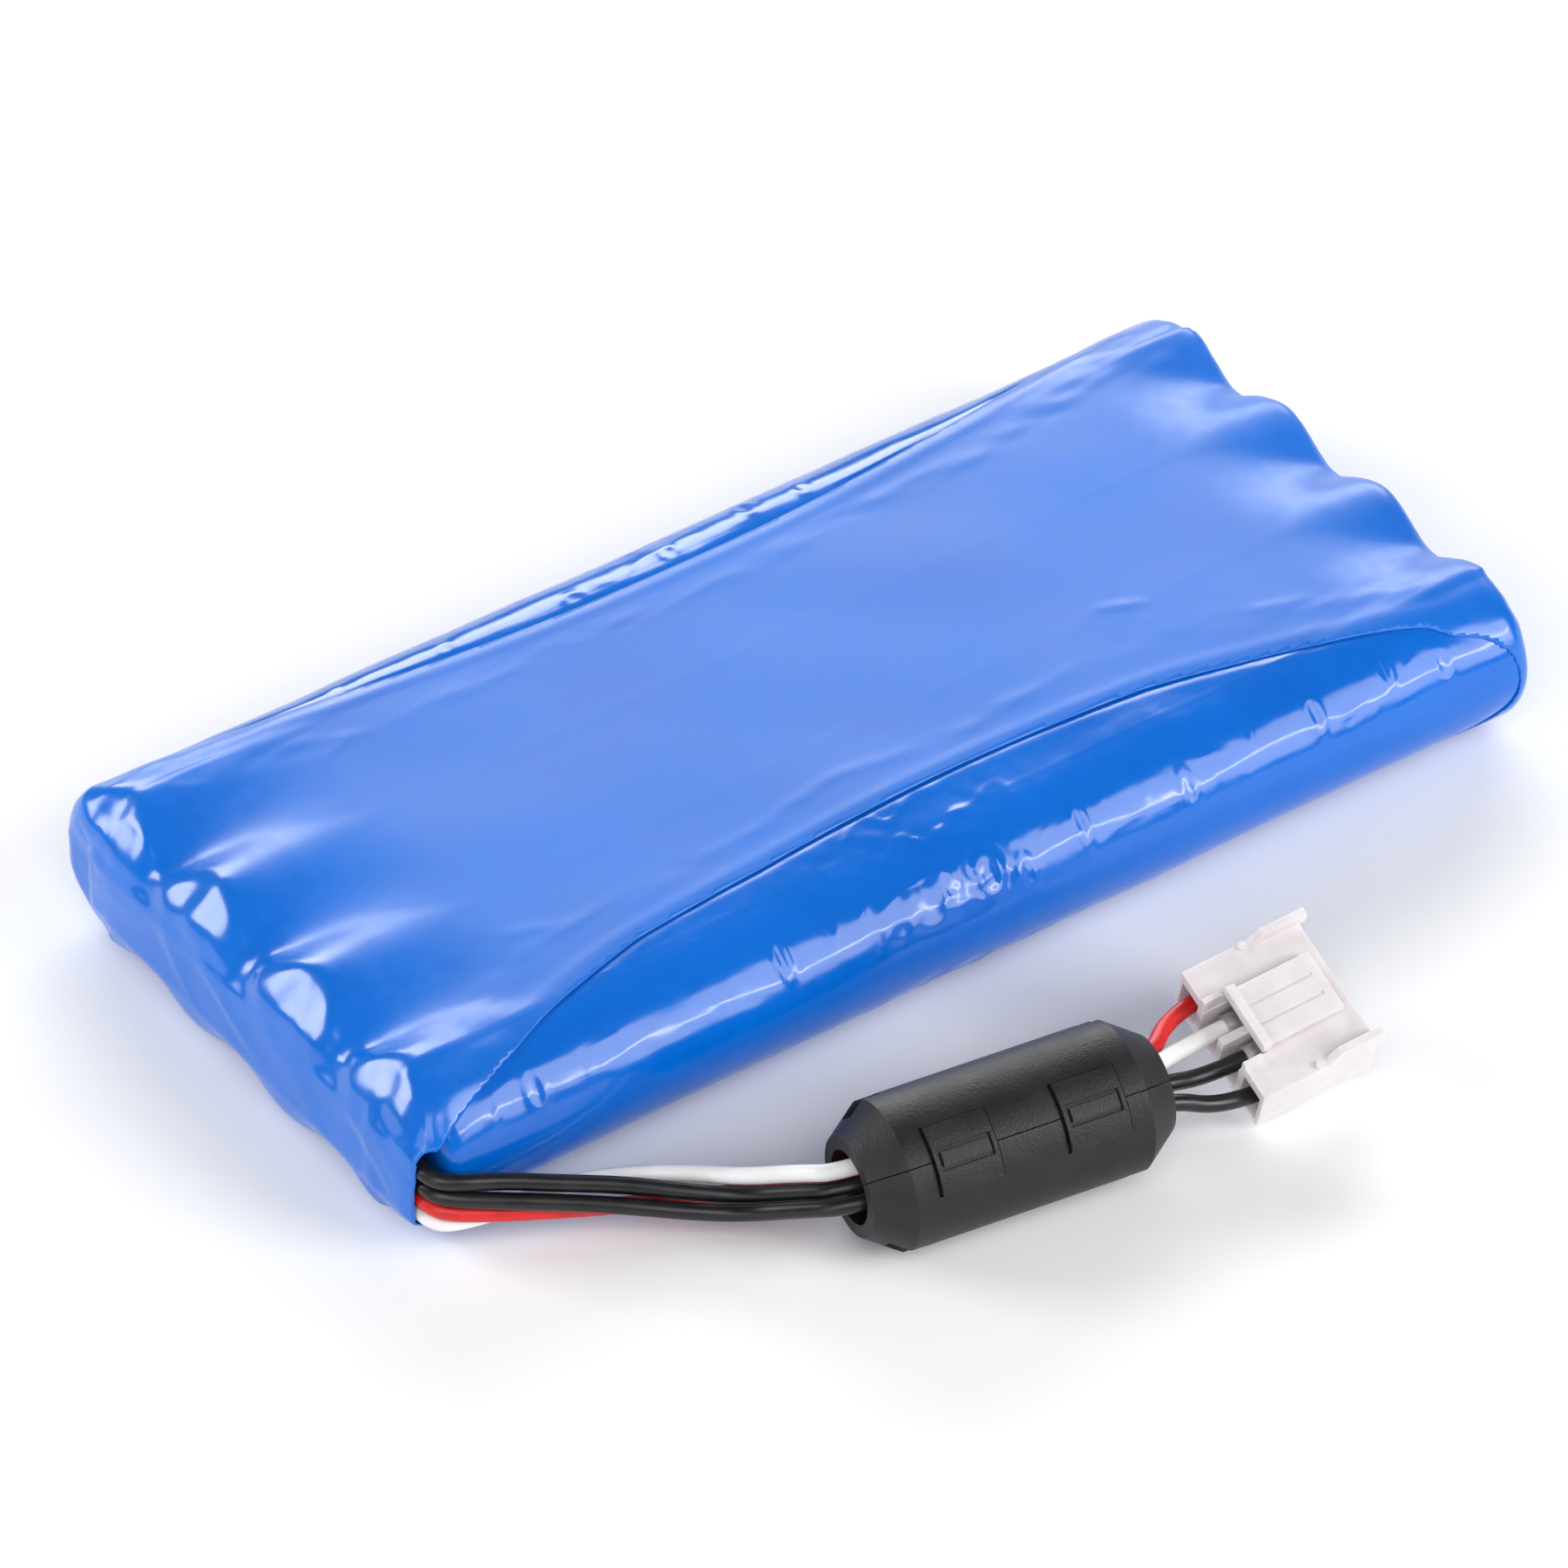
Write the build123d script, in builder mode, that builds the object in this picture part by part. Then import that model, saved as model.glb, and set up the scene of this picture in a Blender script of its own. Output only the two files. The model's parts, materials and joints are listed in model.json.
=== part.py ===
from build123d import *

import os
from math import cos, pi, radians, sin, sqrt, tan

# Rechargeable pack of eight cylindrical cells in two layers of shrink film, with a
# four-wire harness, a clip-on ferrite sleeve and a four-way plug.
# Frame: X along the cells, Y across the four columns, Z up, origin at the middle of
# the flat underside. All lengths are in millimetres, all angles in degrees.

os.makedirs("parts", exist_ok=True)

# ---- cells ----
CELL_PITCH = 17.0
CELL_LENGTH = 67.5
COLUMNS = 4
JACKET_RADIUS = 8.47
JACKET_WALL = 0.17
JACKET_SETBACK = 0.6
CAN_RADIUS = 8.25
CAN_FILLET = 0.8
BEAD_FROM_TOP = 4.0
BEAD_DEPTH = 0.45
CAP_HEIGHT = 0.9
CAP_RADIUS = 3.5
CAP_STEP = 0.6
RING_WALL = 0.3

# ---- stack along X ----
MID_GAP = 0.8
LINK_THICKNESS = 0.2
LINK_WIDTH = 6.0
LINK_HEIGHT = 11.0
TAB_REACH = 5.0
BOARD_THICKNESS = 0.5
BOARD_INSET = 1.4
BOARD_NECK = 8.0
LEAD_SPACE = 3.1

# ---- films ----
INNER_FILM = 0.15
OUTER_FILM = 0.17
FILM_GAP = 0.03
INNER_END_FILLET = 1.5
END_LIP = 2.6
OPENING_REACH = 67.7
OPENING_RISES = {-1: 19.5, 1: 15.3}
LIP_NOTCH = (6.5, 2.05, 9.4)
LIP_NOTCH_Z = 7.8

# ---- output stubs, one on each end terminal of the string ----
STUB_WIDTH = 3.0
STUB_HEIGHT = 1.0
STUB_ROOM = 0.4

# ---- sensing parts, in the cusps between columns ----
SENSOR_DROP = 5.6
SENSOR_FROM_END = 14.0
SENSOR_LENGTH = 6.0
SENSOR_RADIUS = 1.2
SENSOR_LEAD_RADIUS = 0.3
SENSOR_LEAD_SPLIT = 0.7
SENSOR_LEAD_BEND = 0.4
FUSE_RISE = 6.35
FUSE_FROM_END = 24.0
FUSE_LENGTH = 11.0
FUSE_WIDTH = 3.2
FUSE_HEIGHT = 2.0
FUSE_CORNER = 0.5
FUSE_STRIP = (1.8, 0.3, 9.0)

# ---- wires ----
WIRE_DIAMETER = 1.8
LIP_Y = -31.5
LEAD_X = -69.1
LEAD_HEIGHTS = {"black_upper": 10.3, "black_lower": 8.4, "red": 6.5, "white": 4.6}
LEAD_OVERRUN = 2.0
SENSOR_OVERRUN = 0.9
BEND_SHARE = 0.45

# ---- ferrite sleeve ----
SLEEVE_CENTRE = (-17.7, -59.2, 8.0)
SLEEVE_YAW = -8.6
SLEEVE_TILT = 43.0
CASE_RADIUS = 8.0
CASE_LENGTH = 34.0
CONE_LENGTH = 3.75
CONE_END_RADIUS = 5.35
CASE_BORE = 3.95
CORE_LENGTH = 26.0
CORE_RADIUS = 6.9
CORE_BORE = 4.15
CORE_ROOM = 0.15
PARTING_GAP = 0.12
SHOULDER_SLOT = (4.0, 2.4, 1.5)
TONGUE_WIDTH = 6.8
TONGUE_SPACING = 14.4
TONGUE_INNER = 7.9
TONGUE_OUTER = 8.45
TONGUE_HALF_ANGLE = 25.0
POCKET_FLOOR = 7.4
POCKET_HALF_ANGLE = 26.6
POCKET_CLEARANCE = 0.25
CATCH_SLOT = (5.9, 8.0)
CATCH_RIDGE = (5.3, 4.8)
CATCH_FLOOR = 0.25
CATCH_STAND = 0.1
HINGE_REACH = 8.3
WEB_RADIUS = 0.5
WEB_RELIEF = 0.58
WEB_LENGTH = 6.0

# ---- plug ----
PLUG_CENTRE = (15.9, -60.4, 6.9)
PLUG_ROLL = 22.0
PLUG_PITCH = -7.2
PLUG_YAW = -5.2
PLUG_LENGTH = 13.5
PLUG_WIDTH = 16.0
PLUG_HEIGHT = 6.6
WAY_PITCH = 3.96
WAY_WIDTH = 3.0
WAY_HEIGHT = 4.4
WAY_AXIS_Z = -0.3
FRONT_WALL = 1.2
MOUTH = (2.2, 2.6)
NOTCH = (3.0, 7.4)
EAR = (6.5, 0.9, 1.3)
EAR_OVERHANG = 0.8
BOSS = (0.45, 0.4)
RAIL = (2.2, 0.6, 0.5)
PLUG_CHAMFER = 0.3
LEVER_X = (-4.4, 5.4)
LEVER_WIDTH = 7.0
LEVER_THICKNESS = 0.8
LEVER_LIFT = 0.5
LEVER_PIVOT_X = 0.8
CROSSBAR = (1.0, 7.6, 0.55)
GROOVE = (0.35, 0.15)
CONTACT_SIZE = (2.2, 2.4)
CONTACT_WALL = 0.3
CONTACT_X = (-3.3, 4.6)
CRIMP_LENGTH = 1.6
CRIMP_GAP = 0.04
WAY_APPROACH = 5.9
FULCRUM_RADIUS = 0.45

# ---- worked out from the above ----
film_stack = INNER_FILM + FILM_GAP + OUTER_FILM
cavity_radius = CELL_PITCH / 2
inner_radius = cavity_radius + INNER_FILM
outer_radius = cavity_radius + film_stack
axis_z = outer_radius
pack_length = (2 * (film_stack + BOARD_THICKNESS + LINK_THICKNESS + CELL_LENGTH)
               + MID_GAP + LEAD_SPACE)
x_far = pack_length / 2
far_board_x = x_far - film_stack - BOARD_THICKNESS
far_link_x = far_board_x - LINK_THICKNESS
far_cell_x = far_link_x - CELL_LENGTH
near_cell_x = far_cell_x - MID_GAP - CELL_LENGTH
near_link_x = near_cell_x - LINK_THICKNESS
near_board_x = near_link_x - BOARD_THICKNESS
column_y = [CELL_PITCH * (i - (COLUMNS - 1) / 2) for i in range(COLUMNS)]
outer_column_y = column_y[-1]
centre_floor = (Align.CENTER, Align.CENTER, Align.MIN)


def finish(piece, name):
    """Label a piece and write it."""
    piece.label = name
    export_step(piece, f"parts/{name}.step")


def across_x(x, y=0.0, z=axis_z, direction=1):
    """Plane across the X axis whose normal points along +X or -X."""
    return Plane(origin=(x, y, z), x_dir=(0, direction, 0), z_dir=(direction, 0, 0))


def stadium_block(x, radius, length, corner=0.0):
    """Envelope of the four columns, grown to a radius, with its end edges rounded."""
    with BuildPart() as block:
        with BuildSketch(across_x(x)):
            SlotCenterToCenter(2 * outer_column_y, 2 * radius)
        extrude(amount=length)
        if corner:
            fillet(block.faces().filter_by(Axis.X).edges(), corner)
    return block.part


# ---------------------------------------------------------------- cells
def steel_can(negative_x, y, direction):
    """Can with a rolled bead under its positive end."""
    height = CELL_LENGTH - CAP_HEIGHT
    with BuildPart(across_x(negative_x, y, direction=direction)) as can:
        Cylinder(CAN_RADIUS, height, align=centre_floor)
        fillet(can.edges().filter_by(GeomType.CIRCLE), CAN_FILLET)
        with Locations((0, 0, height - BEAD_FROM_TOP)):
            Torus(CAN_RADIUS + BEAD_DEPTH, 2 * BEAD_DEPTH, mode=Mode.SUBTRACT)
    return can.part


def jacket(negative_x, y, direction):
    """Plain plastic tube shrunk on one can."""
    start_x = negative_x + direction * JACKET_SETBACK
    with BuildPart() as tube:
        with BuildSketch(across_x(start_x, y, direction=direction)):
            Circle(JACKET_RADIUS)
            Circle(JACKET_RADIUS - JACKET_WALL, mode=Mode.SUBTRACT)
        extrude(amount=CELL_LENGTH - CAP_HEIGHT - 2 * JACKET_SETBACK)
    return tube.part


# The cells of columns 1 and 3 point their positive ends to -X, the others to +X.
cap_planes = []
for number, y in enumerate(column_y, start=1):
    direction = 1 if number % 2 == 0 else -1
    for place, start_x in (("near", near_cell_x), ("far", far_cell_x)):
        negative_x = start_x if direction > 0 else start_x + CELL_LENGTH
        finish(steel_can(negative_x, y, direction), f"cell_can_{number}_{place}")
        finish(jacket(negative_x, y, direction), f"cell_jacket_{number}_{place}")
        top_x = negative_x + direction * (CELL_LENGTH - CAP_HEIGHT)
        cap_planes.append(across_x(top_x, y, direction=direction))

with BuildPart() as cell_caps:
    for plane in cap_planes:
        with BuildSketch(plane):
            Circle(CAP_RADIUS)
        extrude(amount=CAP_HEIGHT / 2)
        with BuildSketch(plane.offset(CAP_HEIGHT / 2)):
            Circle(CAP_RADIUS - CAP_STEP)
        extrude(amount=CAP_HEIGHT / 2)
finish(cell_caps.part, "cell_caps")

with BuildPart() as cap_rings:
    for plane in cap_planes:
        with BuildSketch(plane):
            Circle(CAN_RADIUS - CAN_FILLET - RING_WALL)
            Circle(CAP_RADIUS + RING_WALL, mode=Mode.SUBTRACT)
        extrude(amount=RING_WALL)
finish(cap_rings.part, "cap_rings")


# ---------------------------------------------------------------- nickel links
def mid_link(y):
    """Strip folded into a U between the two cells of a column."""
    centre_x = far_cell_x - MID_GAP / 2
    with BuildPart() as link:
        with BuildSketch(Plane.XZ.offset(-y)):
            with Locations((centre_x, axis_z)):
                Rectangle(MID_GAP, LINK_HEIGHT)
            with Locations((centre_x, axis_z + LINK_THICKNESS)):
                Rectangle(MID_GAP - 2 * LINK_THICKNESS, LINK_HEIGHT, mode=Mode.SUBTRACT)
        extrude(amount=LINK_WIDTH / 2, both=True)
    return link.part


def end_link(x, y_from, y_to):
    """Flat strip with round ends across neighbouring columns."""
    with BuildPart() as link:
        with BuildSketch(across_x(x, (y_from + y_to) / 2)):
            SlotCenterToCenter(y_to - y_from, LINK_WIDTH)
        extrude(amount=LINK_THICKNESS)
    return link.part


def output_tab(y_from, y_to, stub_y, stub_z):
    """Short strip on one end cell, with a stub through the board to the lead."""
    stub_length = near_link_x + LINK_THICKNESS - LEAD_X - WIRE_DIAMETER / 2
    with BuildPart() as tab:
        with BuildSketch(across_x(near_link_x, (y_from + y_to) / 2)):
            SlotCenterToCenter(y_to - y_from, LINK_WIDTH)
        extrude(amount=LINK_THICKNESS)
        with BuildSketch(across_x(LEAD_X + WIRE_DIAMETER / 2, stub_y, stub_z)):
            Rectangle(STUB_WIDTH, STUB_HEIGHT)
        extrude(amount=stub_length)
    return tab.part


stubs = [(column_y[0], LEAD_HEIGHTS["red"]), (column_y[3], LEAD_HEIGHTS["black_upper"])]

for number, y in enumerate(column_y, start=1):
    finish(mid_link(y), f"mid_link_{number}")
finish(end_link(far_link_x, column_y[0], column_y[1]), "far_link_1_2")
finish(end_link(far_link_x, column_y[2], column_y[3]), "far_link_3_4")
finish(end_link(near_link_x, column_y[1], column_y[2]), "near_link_2_3")
finish(output_tab(column_y[0] - TAB_REACH / 2, column_y[0] + TAB_REACH / 2, *stubs[0]),
       "positive_tab")
finish(output_tab(column_y[3] - TAB_REACH / 2, column_y[3] + TAB_REACH / 2, *stubs[1]),
       "negative_tab")

# ---------------------------------------------------------------- end boards
# Each board follows the four round cell ends, with a narrow neck between columns that
# leaves the cusps free.
board_radius = cavity_radius - BOARD_INSET


def end_board(x, slots=()):
    with BuildPart() as board:
        with BuildSketch(across_x(x)):
            Rectangle(2 * outer_column_y, BOARD_NECK)
            with Locations(*[(y, 0) for y in column_y]):
                Circle(board_radius)
            for slot_y, slot_z in slots:
                with Locations((slot_y, slot_z - axis_z)):
                    Rectangle(STUB_WIDTH + STUB_ROOM, STUB_HEIGHT + STUB_ROOM,
                              mode=Mode.SUBTRACT)
        extrude(amount=BOARD_THICKNESS)
    return board.part


finish(end_board(near_board_x, stubs), "near_end_board")
finish(end_board(far_board_x), "far_end_board")

# ---------------------------------------------------------------- sensing parts
# The thermistor lies in the lower cusp between the middle columns; one leg meets the
# underside of the white lead and the other the underside of the lower black one.
sensor_x = near_cell_x + SENSOR_FROM_END
sensor_z = axis_z - SENSOR_DROP
leg_start = sensor_x + SENSOR_LENGTH / 4
sensor_legs = [(-SENSOR_LEAD_SPLIT, LEAD_HEIGHTS["white"]),
               (SENSOR_LEAD_SPLIT, LEAD_HEIGHTS["black_lower"])]

with BuildPart() as thermistor:
    with BuildSketch(across_x(sensor_x, 0, sensor_z)):
        Circle(SENSOR_RADIUS)
    extrude(amount=SENSOR_LENGTH)
    fillet(thermistor.edges().filter_by(GeomType.CIRCLE), SENSOR_RADIUS / 2)
    for leg_y, lead_z in sensor_legs:
        with BuildLine():
            FilletPolyline(
                (leg_start, leg_y, sensor_z),
                (LEAD_X, leg_y, sensor_z),
                (LEAD_X, leg_y, lead_z - WIRE_DIAMETER / 2),
                radius=SENSOR_LEAD_BEND,
            )
        with BuildSketch(across_x(leg_start, leg_y, sensor_z, direction=-1)):
            Circle(SENSOR_LEAD_RADIUS)
        sweep()
finish(thermistor.part, "thermistor")

fuse_x = near_cell_x + FUSE_FROM_END
fuse_y = (column_y[0] + column_y[1]) / 2
fuse_z = axis_z + FUSE_RISE

with BuildPart() as thermal_fuse:
    with BuildSketch(across_x(fuse_x, fuse_y, fuse_z)):
        RectangleRounded(FUSE_WIDTH, FUSE_HEIGHT, FUSE_CORNER)
    extrude(amount=FUSE_LENGTH)
    with BuildSketch(across_x(fuse_x - FUSE_STRIP[2], fuse_y, fuse_z)):
        Rectangle(FUSE_STRIP[0], FUSE_STRIP[1])
    extrude(amount=FUSE_LENGTH + 2 * FUSE_STRIP[2])
finish(thermal_fuse.part, "thermal_fuse")

# ---------------------------------------------------------------- inner film
inner_length = far_board_x + BOARD_THICKNESS - near_board_x
inner_room = stadium_block(near_board_x, cavity_radius, inner_length,
                           INNER_END_FILLET - INNER_FILM)
inner_mouths = stadium_block(near_board_x - 1, cavity_radius - END_LIP, inner_length + 2)

with BuildPart() as inner_sleeve:
    add(stadium_block(near_board_x - INNER_FILM, inner_radius,
                      inner_length + 2 * INNER_FILM, INNER_END_FILLET))
    add(inner_room, mode=Mode.SUBTRACT)
    add(inner_mouths, mode=Mode.SUBTRACT)
finish(inner_sleeve.part, "inner_sleeve")

# ---------------------------------------------------------------- outer film
# Each side opening is an ellipse drawn on the unrolled film: its half height is
# measured around the section from mid-height, first up the round flank, then in
# over the flat top. The wires' side, -Y, has the taller opening.
quarter_girth = outer_radius * pi / 2
OVERSHOOT = 2.0
EDGE_STEPS = (0, 0.25, 0.5, 0.75, 1)


def side_opening(side):
    """Block that cuts one side opening; side is the sign of Y."""
    tallest = OPENING_RISES[side]
    shoulder_x = OPENING_REACH * sqrt(1 - (quarter_girth / tallest) ** 2)
    block_top = outer_radius + OVERSHOOT

    def rise(x):
        return tallest * sqrt(max(0.0, 1 - (x / OPENING_REACH) ** 2))

    flank = []
    for step in EDGE_STEPS:
        x = OPENING_REACH - (OPENING_REACH - shoulder_x) * step ** 2
        flank.append((x, outer_radius * sin(rise(x) / outer_radius)))
    ledge = []
    for step in EDGE_STEPS:
        x = shoulder_x * (2 * step - 1)
        ledge.append((x, -side * (rise(x) - quarter_girth)))
    side_plane = Plane(origin=(0, side * outer_column_y, axis_z), x_dir=(1, 0, 0),
                       z_dir=(0, -1, 0))
    with BuildPart() as opening:
        with BuildSketch(side_plane):
            with BuildLine():
                Spline(*flank)
                Spline(*[(-x, z) for x, z in flank])
                Polyline(flank[-1], (shoulder_x, block_top), (-shoulder_x, block_top),
                         (-shoulder_x, flank[-1][1]))
                Line(flank[0], (-flank[0][0], flank[0][1]))
            make_face()
            mirror(about=Plane.XZ)
        extrude(amount=-side * (outer_radius + OVERSHOOT))
        with BuildSketch(Plane(origin=(0, side * outer_column_y, -OVERSHOOT))):
            with BuildLine():
                Spline(*ledge)
                Polyline(ledge[-1], (shoulder_x, side), (-shoulder_x, side), ledge[0])
            make_face()
        extrude(amount=2 * block_top)
    return opening.part


openings = [side_opening(side) for side in OPENING_RISES]

with BuildPart() as outer_sleeve:
    add(stadium_block(-x_far, outer_radius, pack_length, INNER_END_FILLET + OUTER_FILM))
    add(stadium_block(-x_far + OUTER_FILM, inner_radius + FILM_GAP,
                      pack_length - 2 * OUTER_FILM, INNER_END_FILLET), mode=Mode.SUBTRACT)
    for opening in openings:
        add(opening, mode=Mode.SUBTRACT)
    with Locations((-x_far, -outer_column_y - outer_radius, LIP_NOTCH_Z)):
        Box(2 * LIP_NOTCH[0], 2 * LIP_NOTCH[1], LIP_NOTCH[2], mode=Mode.SUBTRACT)
finish(outer_sleeve.part, "outer_sleeve")


# ---------------------------------------------------------------- leads and wires
# The plug's own frame: +X to the mating face, Y across the ways, Z to the lever.
plug_plane = Plane(
    origin=PLUG_CENTRE,
    x_dir=Vector(1, 0, 0).rotate(Axis.Y, PLUG_PITCH).rotate(Axis.Z, PLUG_YAW),
    z_dir=(Vector(0, 0, 1).rotate(Axis.X, PLUG_ROLL).rotate(Axis.Y, PLUG_PITCH)
           .rotate(Axis.Z, PLUG_YAW)),
)
way_y = [WAY_PITCH * (i - 1.5) for i in range(4)]


def into_way(number):
    """Last two points of a wire: in line with its way, then the contact's back face."""
    wire_end = CONTACT_X[0]
    ends = [plug_plane.from_local_coords(Vector(x, way_y[number - 1], WAY_AXIS_Z))
            for x in (wire_end - WAY_APPROACH, wire_end)]
    return [(end.X, end.Y, end.Z) for end in ends]


def corner_radii(points):
    """Largest arc at each corner that leaves a tenth of the shorter run straight."""
    corners = [Vector(*p) for p in points]
    radii = []
    for before, here, after in zip(corners, corners[1:], corners[2:]):
        turn = (here - before).get_angle(after - here)
        shorter = min((here - before).length, (after - here).length)
        radii.append(BEND_SHARE * shorter / tan(radians(turn) / 2))
    return radii


def wire_along(points, name):
    """Round wire on straight runs joined by tangent arcs."""
    radii = corner_radii(points)
    with BuildPart() as wire:
        with BuildLine():
            route = FilletPolyline(*points, radius=radii)
        with BuildSketch(Plane(origin=route @ 0, z_dir=route % 0)):
            Circle(WIRE_DIAMETER / 2)
        sweep()
    expected = route.length * pi * WIRE_DIAMETER ** 2 / 4
    print(name, "length", round(route.length, 1), "volume ratio",
          round(wire.part.volume / expected, 4), "radii", [round(r, 1) for r in radii])
    finish(wire.part, name)


def inner_lead(colour, y_from):
    """Straight lead across the near end of the pack to the film's lip."""
    with BuildPart() as lead:
        origin = (LEAD_X, y_from, LEAD_HEIGHTS[colour])
        with BuildSketch(Plane(origin=origin, z_dir=(0, -1, 0))):
            Circle(WIRE_DIAMETER / 2)
        extrude(amount=y_from - LIP_Y)
    finish(lead.part, f"inner_lead_{colour}")


inner_lead("red", column_y[0] + LEAD_OVERRUN)
inner_lead("black_upper", column_y[3] + LEAD_OVERRUN)
inner_lead("black_lower", SENSOR_LEAD_SPLIT + SENSOR_OVERRUN)
inner_lead("white", SENSOR_OVERRUN - SENSOR_LEAD_SPLIT)

wire_along([
    (-69.1, -31.5, 10.3), (-69.1, -33.5, 10.3), (-67.6, -35.0, 9.9), (-62.5, -36.5, 8.7),
    (-57.3, -38.7, 7.3), (-51.2, -41.3, 5.8), (-45.6, -44.6, 4.3), (-41.3, -47.6, 3.7),
    (-37.6, -52.8, 6.1), (-35.3, -56.1, 7.4), (-25.6, -57.9, 7.5), (-12.7, -59.8, 7.4),
    (-0.2, -61.3, 7.2),
    *into_way(2),
], "wire_black_upper")
wire_along([
    (-69.1, -31.5, 8.4), (-69.1, -33.6, 8.4), (-67.6, -35.3, 8.0), (-63.2, -37.5, 7.1),
    (-58.0, -39.7, 5.8), (-52.0, -42.5, 4.3), (-46.6, -46.1, 3.3), (-42.4, -49.2, 3.1),
    (-38.8, -54.4, 5.6), (-35.9, -58.4, 7.3), (-25.9, -60.1, 7.0), (-13.1, -62.0, 6.9),
    (-0.6, -63.1, 6.9),
    *into_way(1),
], "wire_black_lower")
wire_along([
    (-69.1, -31.5, 6.5), (-69.1, -33.6, 6.5), (-67.6, -35.3, 6.1), (-63.1, -37.2, 5.2),
    (-57.5, -39.0, 4.0), (-51.1, -41.2, 2.9), (-44.9, -43.7, 2.4), (-40.1, -46.1, 2.6),
    (-35.9, -50.5, 4.2), (-35.1, -54.1, 6.6), (-25.5, -56.1, 7.4), (-12.4, -57.5, 7.6),
    (0.5, -59.5, 8.4),
    *into_way(4),
], "wire_red")
wire_along([
    (-69.1, -31.5, 4.6), (-69.1, -33.4, 4.6), (-67.5, -34.7, 4.2), (-62.1, -35.8, 4.0),
    (-55.7, -36.5, 4.6), (-49.3, -38.6, 4.2), (-44.1, -42.5, 4.6), (-40.7, -46.7, 5.3),
    (-37.1, -51.7, 7.6), (-35.2, -55.4, 9.3), (-25.4, -56.8, 9.3), (-12.7, -59.0, 9.5),
    (-0.9, -61.5, 9.9),
    *into_way(3),
], "wire_white")
# ---------------------------------------------------------------- ferrite sleeve
# Local frame: X along the bore, the two halves meet at local Z = 0, the tongues are
# on the -Y side and the hinge webs on the +Y side.
sleeve_plane = Plane(
    origin=SLEEVE_CENTRE,
    x_dir=Vector(1, 0, 0).rotate(Axis.Z, SLEEVE_YAW),
    z_dir=Vector(0, 0, 1).rotate(Axis.X, -SLEEVE_TILT).rotate(Axis.Z, SLEEVE_YAW),
)
case_end = CASE_LENGTH / 2
cone_start = case_end - CONE_LENGTH
room_end = CORE_LENGTH / 2 + CORE_ROOM
room_radius = CORE_RADIUS + CORE_ROOM
tongue_x = (-TONGUE_SPACING / 2, TONGUE_SPACING / 2)


def ring_sector(x, inner, outer, half_angle, width):
    """Curved plate about the sleeve's axis, centred on the -Y side."""
    reach = 2 * outer
    rise = reach * sin(radians(half_angle))
    run = reach * cos(radians(half_angle))
    with BuildPart() as plate:
        with BuildSketch(Plane.YZ.offset(x - width / 2)):
            Circle(outer)
            Circle(inner, mode=Mode.SUBTRACT)
            with BuildLine():
                Polyline((0, 0), (-run, rise), (-run, -rise), (0, 0))
            make_face(mode=Mode.INTERSECT)
        extrude(amount=width)
    return plate.part


def case_half(side):
    """Half of the case; side is +1 for the lid and -1 for the base."""
    pockets = [ring_sector(x, POCKET_FLOOR, CASE_RADIUS + 1, POCKET_HALF_ANGLE,
                           TONGUE_WIDTH + 2 * POCKET_CLEARANCE) for x in tongue_x]
    with BuildPart() as half:
        with BuildSketch(Plane.XZ):
            with BuildLine():
                Polyline((-case_end, CASE_BORE), (-case_end, CONE_END_RADIUS),
                         (-cone_start, CASE_RADIUS), (cone_start, CASE_RADIUS),
                         (case_end, CONE_END_RADIUS), (case_end, CASE_BORE),
                         (room_end, CASE_BORE), (room_end, room_radius),
                         (-room_end, room_radius), (-room_end, CASE_BORE),
                         (-case_end, CASE_BORE))
            make_face()
        revolve(axis=Axis.X)
        seam = Plane.XY.offset(side * PARTING_GAP / 2)
        split(bisect_by=seam, keep=Keep.TOP if side > 0 else Keep.BOTTOM)
        for x in (-cone_start, cone_start):
            with Locations((x, 0, side * CASE_RADIUS)):
                Box(SHOULDER_SLOT[0], SHOULDER_SLOT[1], 2 * SHOULDER_SLOT[2],
                    mode=Mode.SUBTRACT)
        for x in tongue_x:
            with Locations(Location((x, HINGE_REACH, 0), (0, 90, 0))):
                Cylinder(WEB_RELIEF, WEB_LENGTH + 2 * POCKET_CLEARANCE, mode=Mode.SUBTRACT)
        for pocket in pockets:
            add(pocket, mode=Mode.SUBTRACT)
    return half.part


def core_half(side):
    """Half ring of ferrite."""
    with BuildPart() as core:
        with BuildSketch(Plane.YZ.offset(-CORE_LENGTH / 2)):
            Circle(CORE_RADIUS)
            Circle(CORE_BORE, mode=Mode.SUBTRACT)
        extrude(amount=CORE_LENGTH)
        seam = Plane.XY.offset(side * PARTING_GAP / 2)
        split(bisect_by=seam, keep=Keep.TOP if side > 0 else Keep.BOTTOM)
    return core.part


def latch_tongue(x):
    """Curved tongue with a shallow window and a ridge in it."""
    plate = ring_sector(x, TONGUE_INNER, TONGUE_OUTER, TONGUE_HALF_ANGLE, TONGUE_WIDTH)
    window = ring_sector(x, TONGUE_INNER + CATCH_FLOOR, CASE_RADIUS + 1, CATCH_SLOT[1],
                         CATCH_SLOT[0])
    ridge = ring_sector(x, TONGUE_INNER, TONGUE_OUTER + CATCH_STAND, CATCH_RIDGE[1],
                        CATCH_RIDGE[0])
    with BuildPart() as tongue:
        add(plate)
        add(window, mode=Mode.SUBTRACT)
        add(ridge)
    return tongue.part


def place_on_sleeve(piece, name):
    """Set a piece made in the sleeve's own frame where the sleeve lies."""
    finish(sleeve_plane.from_local_coords(piece), name)


place_on_sleeve(case_half(-1), "ferrite_case_base")
place_on_sleeve(case_half(1), "ferrite_case_lid")
place_on_sleeve(core_half(-1), "ferrite_core_base")
place_on_sleeve(core_half(1), "ferrite_core_lid")
place_on_sleeve(latch_tongue(tongue_x[0]), "latch_tongue_left")
place_on_sleeve(latch_tongue(tongue_x[1]), "latch_tongue_right")

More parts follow.
